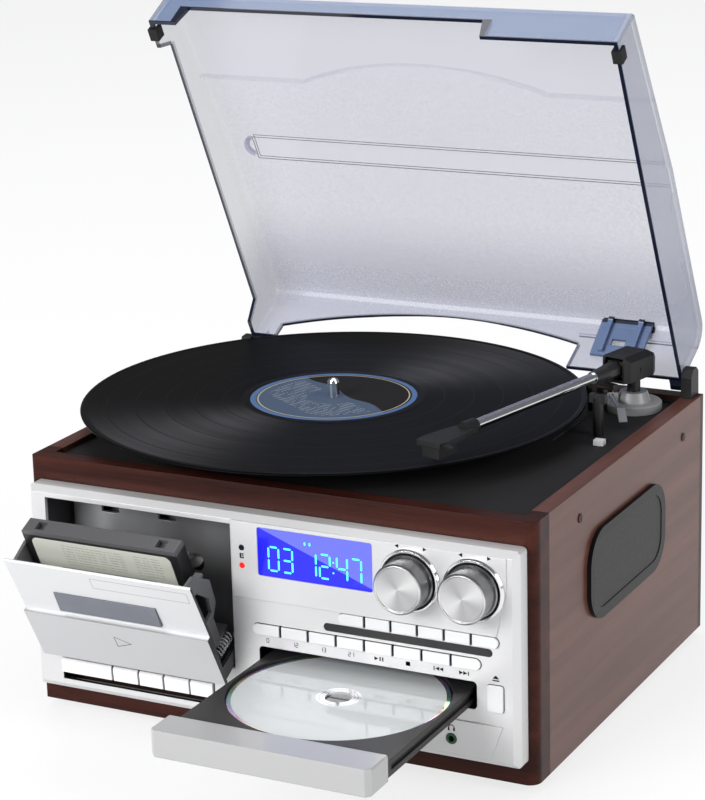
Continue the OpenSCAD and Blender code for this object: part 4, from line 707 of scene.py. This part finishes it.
# The disc and its tray. The tray is charcoal with a pale front piece. The disc is printed in pale grey,
# and its bare mirror rim carries a painted rainbow, set by angle and radius, for the light it splits;
# its bare middle is grey metal with two dark rings.
tray_paint = Paint("tray_charcoal", Specular_IOR_Level=0.3)
grain = tray_paint.noise(tray_paint.point(), 3.0, 3.0, 0.6)
tray_paint.set("Base Color", tray_paint.mix(grain, (0.016, 0.015, 0.015), (0.032, 0.031, 0.031)))
tray_paint.set("Roughness", 0.36 + grain * 0.15)
tray_paint.set("Normal", tray_paint.round_edges(0.4))
finish_of(tray_paint, "disc_tray")
bezel_paint = Paint("tray_white", Coat_Weight=0.15)
fleck = bezel_paint.noise(bezel_paint.point(), 8.0, 2.0, 0.5)
bezel_paint.set("Base Color", bezel_paint.mix(fleck, (0.41, 0.41, 0.412), (0.45, 0.45, 0.452)))
bezel_paint.set("Roughness", 0.28 + fleck * 0.08)
bezel_paint.set("Normal", bezel_paint.round_edges(0.8))
finish_of(bezel_paint, "tray_front_piece")

disc_paint = Paint("printed_disc", Coat_Weight=0.5, Coat_Roughness=0.05)
x, y, z = disc_paint.split(disc_paint.point())
dx, dy, far = away_from((219.2, -45.6), x, y)
angle = disc_paint.node("ShaderNodeMath", {"operation": "ARCTAN2"}, dy, dx)
printed = far.within(12.2, 57.6, 0.15)
painted_rainbow_hue = (angle * 0.95 + far * 0.12).part()
hue = disc_paint.node("ShaderNodeCombineColor", {"mode": "HSV"}, painted_rainbow_hue, 0.42, 0.62)
hue = disc_paint.mix(1 - far.rise(30.0, 31.0), hue, (0.55, 0.56, 0.57))
hue = disc_paint.mix(far.within(10.2, 10.8, 0.15) + far.within(8.6, 9.0, 0.1), hue, (0.2, 0.2, 0.21))
disc_paint.set("Base Color", disc_paint.mix(printed, hue, (0.62, 0.65, 0.645)))
disc_paint.set("Metallic", 0.8 - printed * 0.8)
disc_paint.set("Roughness", 0.12 + printed * 0.3)
finish_of(disc_paint, "disc")


# The speakers: a black frame let into each side board, round a domed plate of fine punched
# holes. The driver's paper cone is behind it.
hole_pitch, row_pitch = 1.9, 1.65
grille_paint = Paint("punched_grille", Roughness=0.35, Specular_IOR_Level=0.15)
x, y, z = grille_paint.split(grille_paint.point())
inside = y.within(78.0, 183.0) * z.within(72.0, 113.5)
across, along = y * (1 / hole_pitch), z * (1 / row_pitch)
shift = (along * 0.5).part().within(0.0, 0.5, 0.001) * 0.5
cell_y, cell_z = (across + shift).part() - 0.5, along.part() - 0.5
# The holes are painted near black, as the shade inside them, and sunk by the bump.
hole = 1 - (cell_y * cell_y + cell_z * cell_z).rise(0.06, 0.12)
metal = grille_paint.mix(inside, (0.009, 0.009, 0.01), (0.024, 0.024, 0.026))
grille_paint.set("Base Color", grille_paint.mix((hole * inside).clip(), metal, (0.002, 0.002, 0.002)))
grille_paint.set("Normal", grille_paint.bump(1 - hole * inside, 0.25, 0.6))
finish_of(grille_paint, "speaker_grilles")
finish_of(mottled("paper_cone", (0.02, 0.02, 0.022), (0.04, 0.04, 0.043), 0.6), "speaker_drivers")


# The circuit boards: green lacquered boards with their parts, hidden inside the cabinet and
# fixed to its base board.
finish_of(mottled("circuit_green", (0.012, 0.065, 0.028), (0.03, 0.12, 0.055), 0.32), "circuit_boards")
